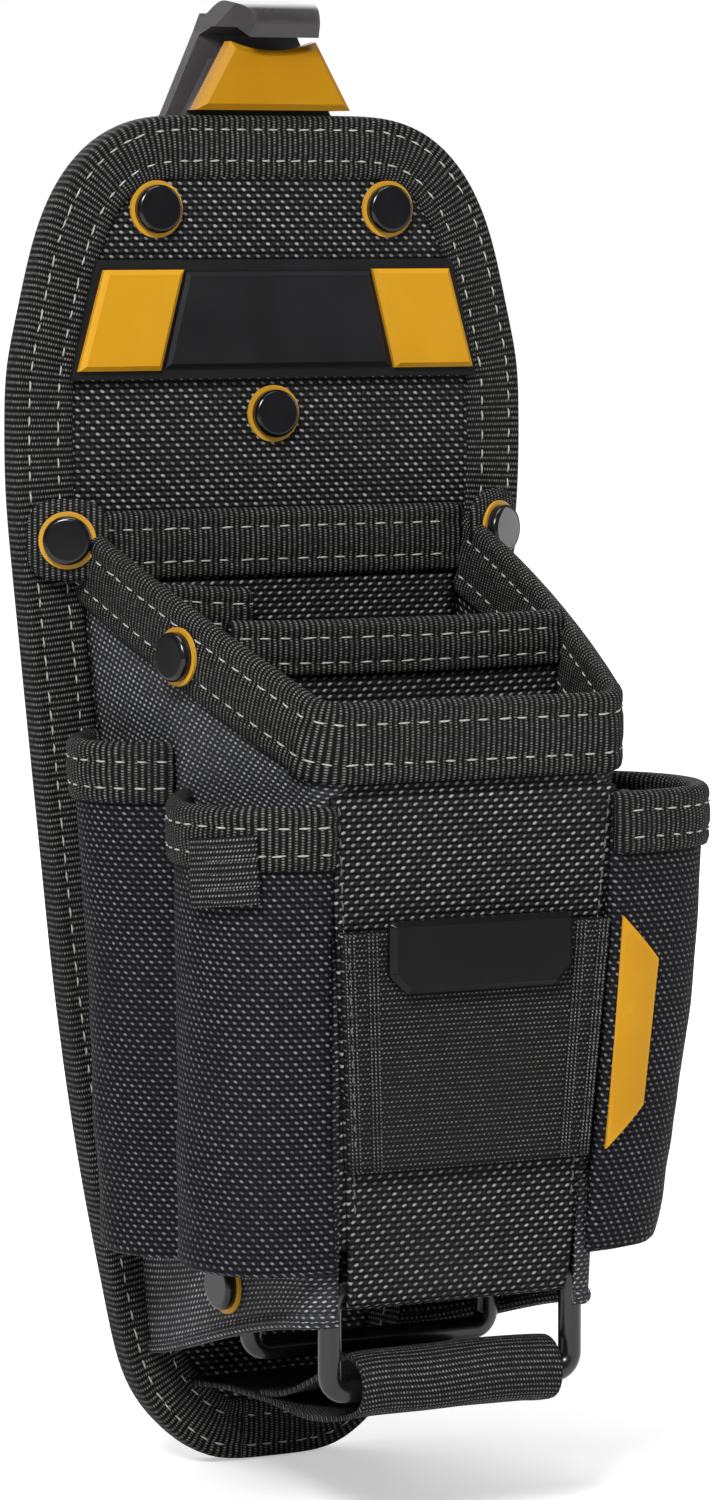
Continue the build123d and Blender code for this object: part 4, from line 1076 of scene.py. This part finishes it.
for inset in (1.2, 2.8):
    depths = np.linspace(FLOOR_DEPTH + 2.4, rear_depth, 8)
    line = [at(loop_half - inset, rear_reach + loop_bore + WEB / 2, d) for d in depths]
    loop_runs.append(forward_run(line))
stitch_object("rear_ring_loop_stitches", loop_runs, 3.6, 2.4, 0.26)

STRAP_HALF = 25.0
# Side view of the strap: from the panel's foot forward, round the front ring's lower bar and back.
STRAP_LINE = [(0.6, 295.0), (18.0, 293.2), (36.0, 291.5), (50.0, 291.3), (62.0, 291.5), (76.0, 290.0)]
STRAP_LINE += [(86.0, 287.7), (91.6, 284.8), (92.9, 280.4), (91.2, 276.2), (86.0, 274.1)]
STRAP_LINE += [(76.2, 278.1), (62.0, 285.2), (50.0, 289.0), (42.0, 290.0)]
strap_side = smooth_curve(STRAP_LINE, 110)
strap_grid = []
for number, (reach, depth) in enumerate(strap_side):
    line = []
    for x in np.linspace(-1, 1, 34):
        pinch = 1 - 0.10 * max(0.0, 1 - reach / 40.0)
        edge_lift = 0.5 * x**6
        point = at(x * STRAP_HALF * pinch, reach, depth)
        line.append(point + Vector((0, 0, (ripple(point, 0.5, 55.0, 9.0) - edge_lift) * MM)))
    strap_grid.append(line)
strap = grid_object("bottom_strap_cloth", strap_grid, STRAP_WEB)
thicken(strap, WEB - 0.1)
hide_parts("bottom_strap")
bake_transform(strap)

# -------- moulded and metal pieces kept from the CAD

FINISHES = {
    "badge_plate": CHARCOAL,
    "badge_inserts": YELLOW,
    "rear_bracket": CLIP_PLASTIC,
    "thumb_block": AMBER,
    "clip_lever": CLIP_PLASTIC,
    "hinge_pin": PIN_STEEL,
    "torsion_spring": PIN_STEEL,
    "panel_rivet_caps": RIVET_BLACK,
    "panel_rivet_rings": RIVET_YELLOW,
    "panel_rivet_backs": RIVET_BLACK,
    "side_rivet_caps": RIVET_BLACK,
    "side_rivet_rings": RIVET_YELLOW,
    "front_clip_plate": GLOSS_BLACK,
    "side_tag": YELLOW,
    "front_ring": RING_STEEL,
    "rear_ring": RING_STEEL,
}
# Width in mm of the rounding on each moulded piece's edges.
BEVELLED = {
    "badge_plate": 0.25,
    "badge_inserts": 0.3,
    "rear_bracket": 0.5,
    "thumb_block": 0.4,
    "clip_lever": 1.2,
    "front_clip_plate": 0.4,
    "side_tag": 0.3,
}
for name, material in FINISHES.items():
    piece = nodes[name]
    piece.data.materials.clear()
    piece.data.materials.append(material)
for name, width in BEVELLED.items():
    bevel = nodes[name].modifiers.new("edge", "BEVEL")
    bevel.width = width * MM
    bevel.segments = 3
    bevel.limit_method = "ANGLE"
    bevel.angle_limit = radians(28)
    bevel.harden_normals = False

# -------- floor, lights, camera

lowest = min((PANEL_LOW.z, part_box("front_ring")[0].z))
FLOOR_SIZE = 30.0


def studio_paper():
    """White paper with a faint tooth; it glows towards the distance, so that no horizon can be seen."""
    shader = Shader("studio_paper")
    spot = shader.object_place()
    tone = shader.mix(shader.noise(spot, 40.0), (0.84, 0.84, 0.84), (0.88, 0.88, 0.88))
    shader.feed("Base Color", tone)
    away = shader.node("ShaderNodeVectorMath", operation="LENGTH")
    shader.put(spot, away.inputs[0])
    glow = shader.math("MULTIPLY_ADD", shader.ramp(away.outputs["Value"], 0.4, 1.3), 0.55, 0.45)
    seen_directly = shader.node("ShaderNodeLightPath").outputs["Is Camera Ray"]
    shader.feed("Emission Strength", shader.math("MULTIPLY", glow, seen_directly))
    shader.bump(shader.noise(spot, 700.0), 0.02, 0.1 * MM)
    shader.set(Roughness=0.85, Specular_IOR_Level=0.1, Emission_Color=(1.0, 1.0, 1.0, 1.0))
    return shader.material


ground = plain_object(
    "studio_floor",
    [(x * FLOOR_SIZE, y * FLOOR_SIZE, lowest) for x, y in ((-1, -1), (1, -1), (1, 1), (-1, 1))],
    [(0, 1, 2, 3)],
    studio_paper(),
)


def area_light(name, place, target, size, power):
    """Large soft box aimed at a point."""
    data = bpy.data.lights.new(name, "AREA")
    data.shape = "RECTANGLE"
    data.size, data.size_y = size
    data.energy = power
    lamp = bpy.data.objects.new(name, data)
    lamp.location = place
    lamp.rotation_mode = "QUATERNION"
    lamp.rotation_quaternion = (Vector(target) - Vector(place)).to_track_quat("-Z", "Y")
    scene.collection.objects.link(lamp)


area_light("key_light", (-0.85, -1.0, 0.85), (0, -0.05, -0.1), (0.45, 0.45), 24.0)
area_light("fill_light", (1.2, -0.25, 0.3), (0, -0.05, -0.1), (0.4, 1.0), 3.5)
area_light("top_light", (0.0, -0.1, 1.3), (0, -0.05, -0.1), (0.8, 0.8), 7.5)
area_light("back_light", (0.3, 1.1, 0.6), (0, 0, -0.1), (1.2, 1.0), 8.0)

# The room is white to look at and dimmer as a light, so that the black cloth keeps its depth.
scene.view_settings.view_transform = "Standard"
world = bpy.data.worlds.new("studio")
world.use_nodes = True
room = world.node_tree
backdrop = room.nodes["Background"]
backdrop.inputs["Color"].default_value = (1.0, 1.0, 1.0, 1)
seen = room.nodes.new("ShaderNodeLightPath")
strength = room.nodes.new("ShaderNodeMapRange")
strength.inputs["To Min"].default_value = 0.15
strength.inputs["To Max"].default_value = 1.0
room.links.new(seen.outputs["Is Camera Ray"], strength.inputs["Value"])
room.links.new(strength.outputs["Result"], backdrop.inputs["Strength"])
scene.world = world

AZIMUTH, ELEVATION, DISTANCE = radians(-27.51), radians(5.25), 1.3902
TARGET = Vector((0.02186, PANEL_Y, -0.09582))
camera_back = Vector((sin(AZIMUTH) * cos(ELEVATION), -cos(AZIMUTH) * cos(ELEVATION), sin(ELEVATION)))
camera_data = bpy.data.cameras.new("camera")
camera_data.lens = 141.5
camera_data.sensor_width = 36.0
camera_data.clip_start = 0.05
camera_data.clip_end = 20.0
camera = bpy.data.objects.new("camera", camera_data)
camera.location = TARGET + camera_back * DISTANCE
camera.rotation_mode = "QUATERNION"
camera.rotation_quaternion = (-camera_back).to_track_quat("-Z", "Y")
scene.collection.objects.link(camera)
scene.camera = camera
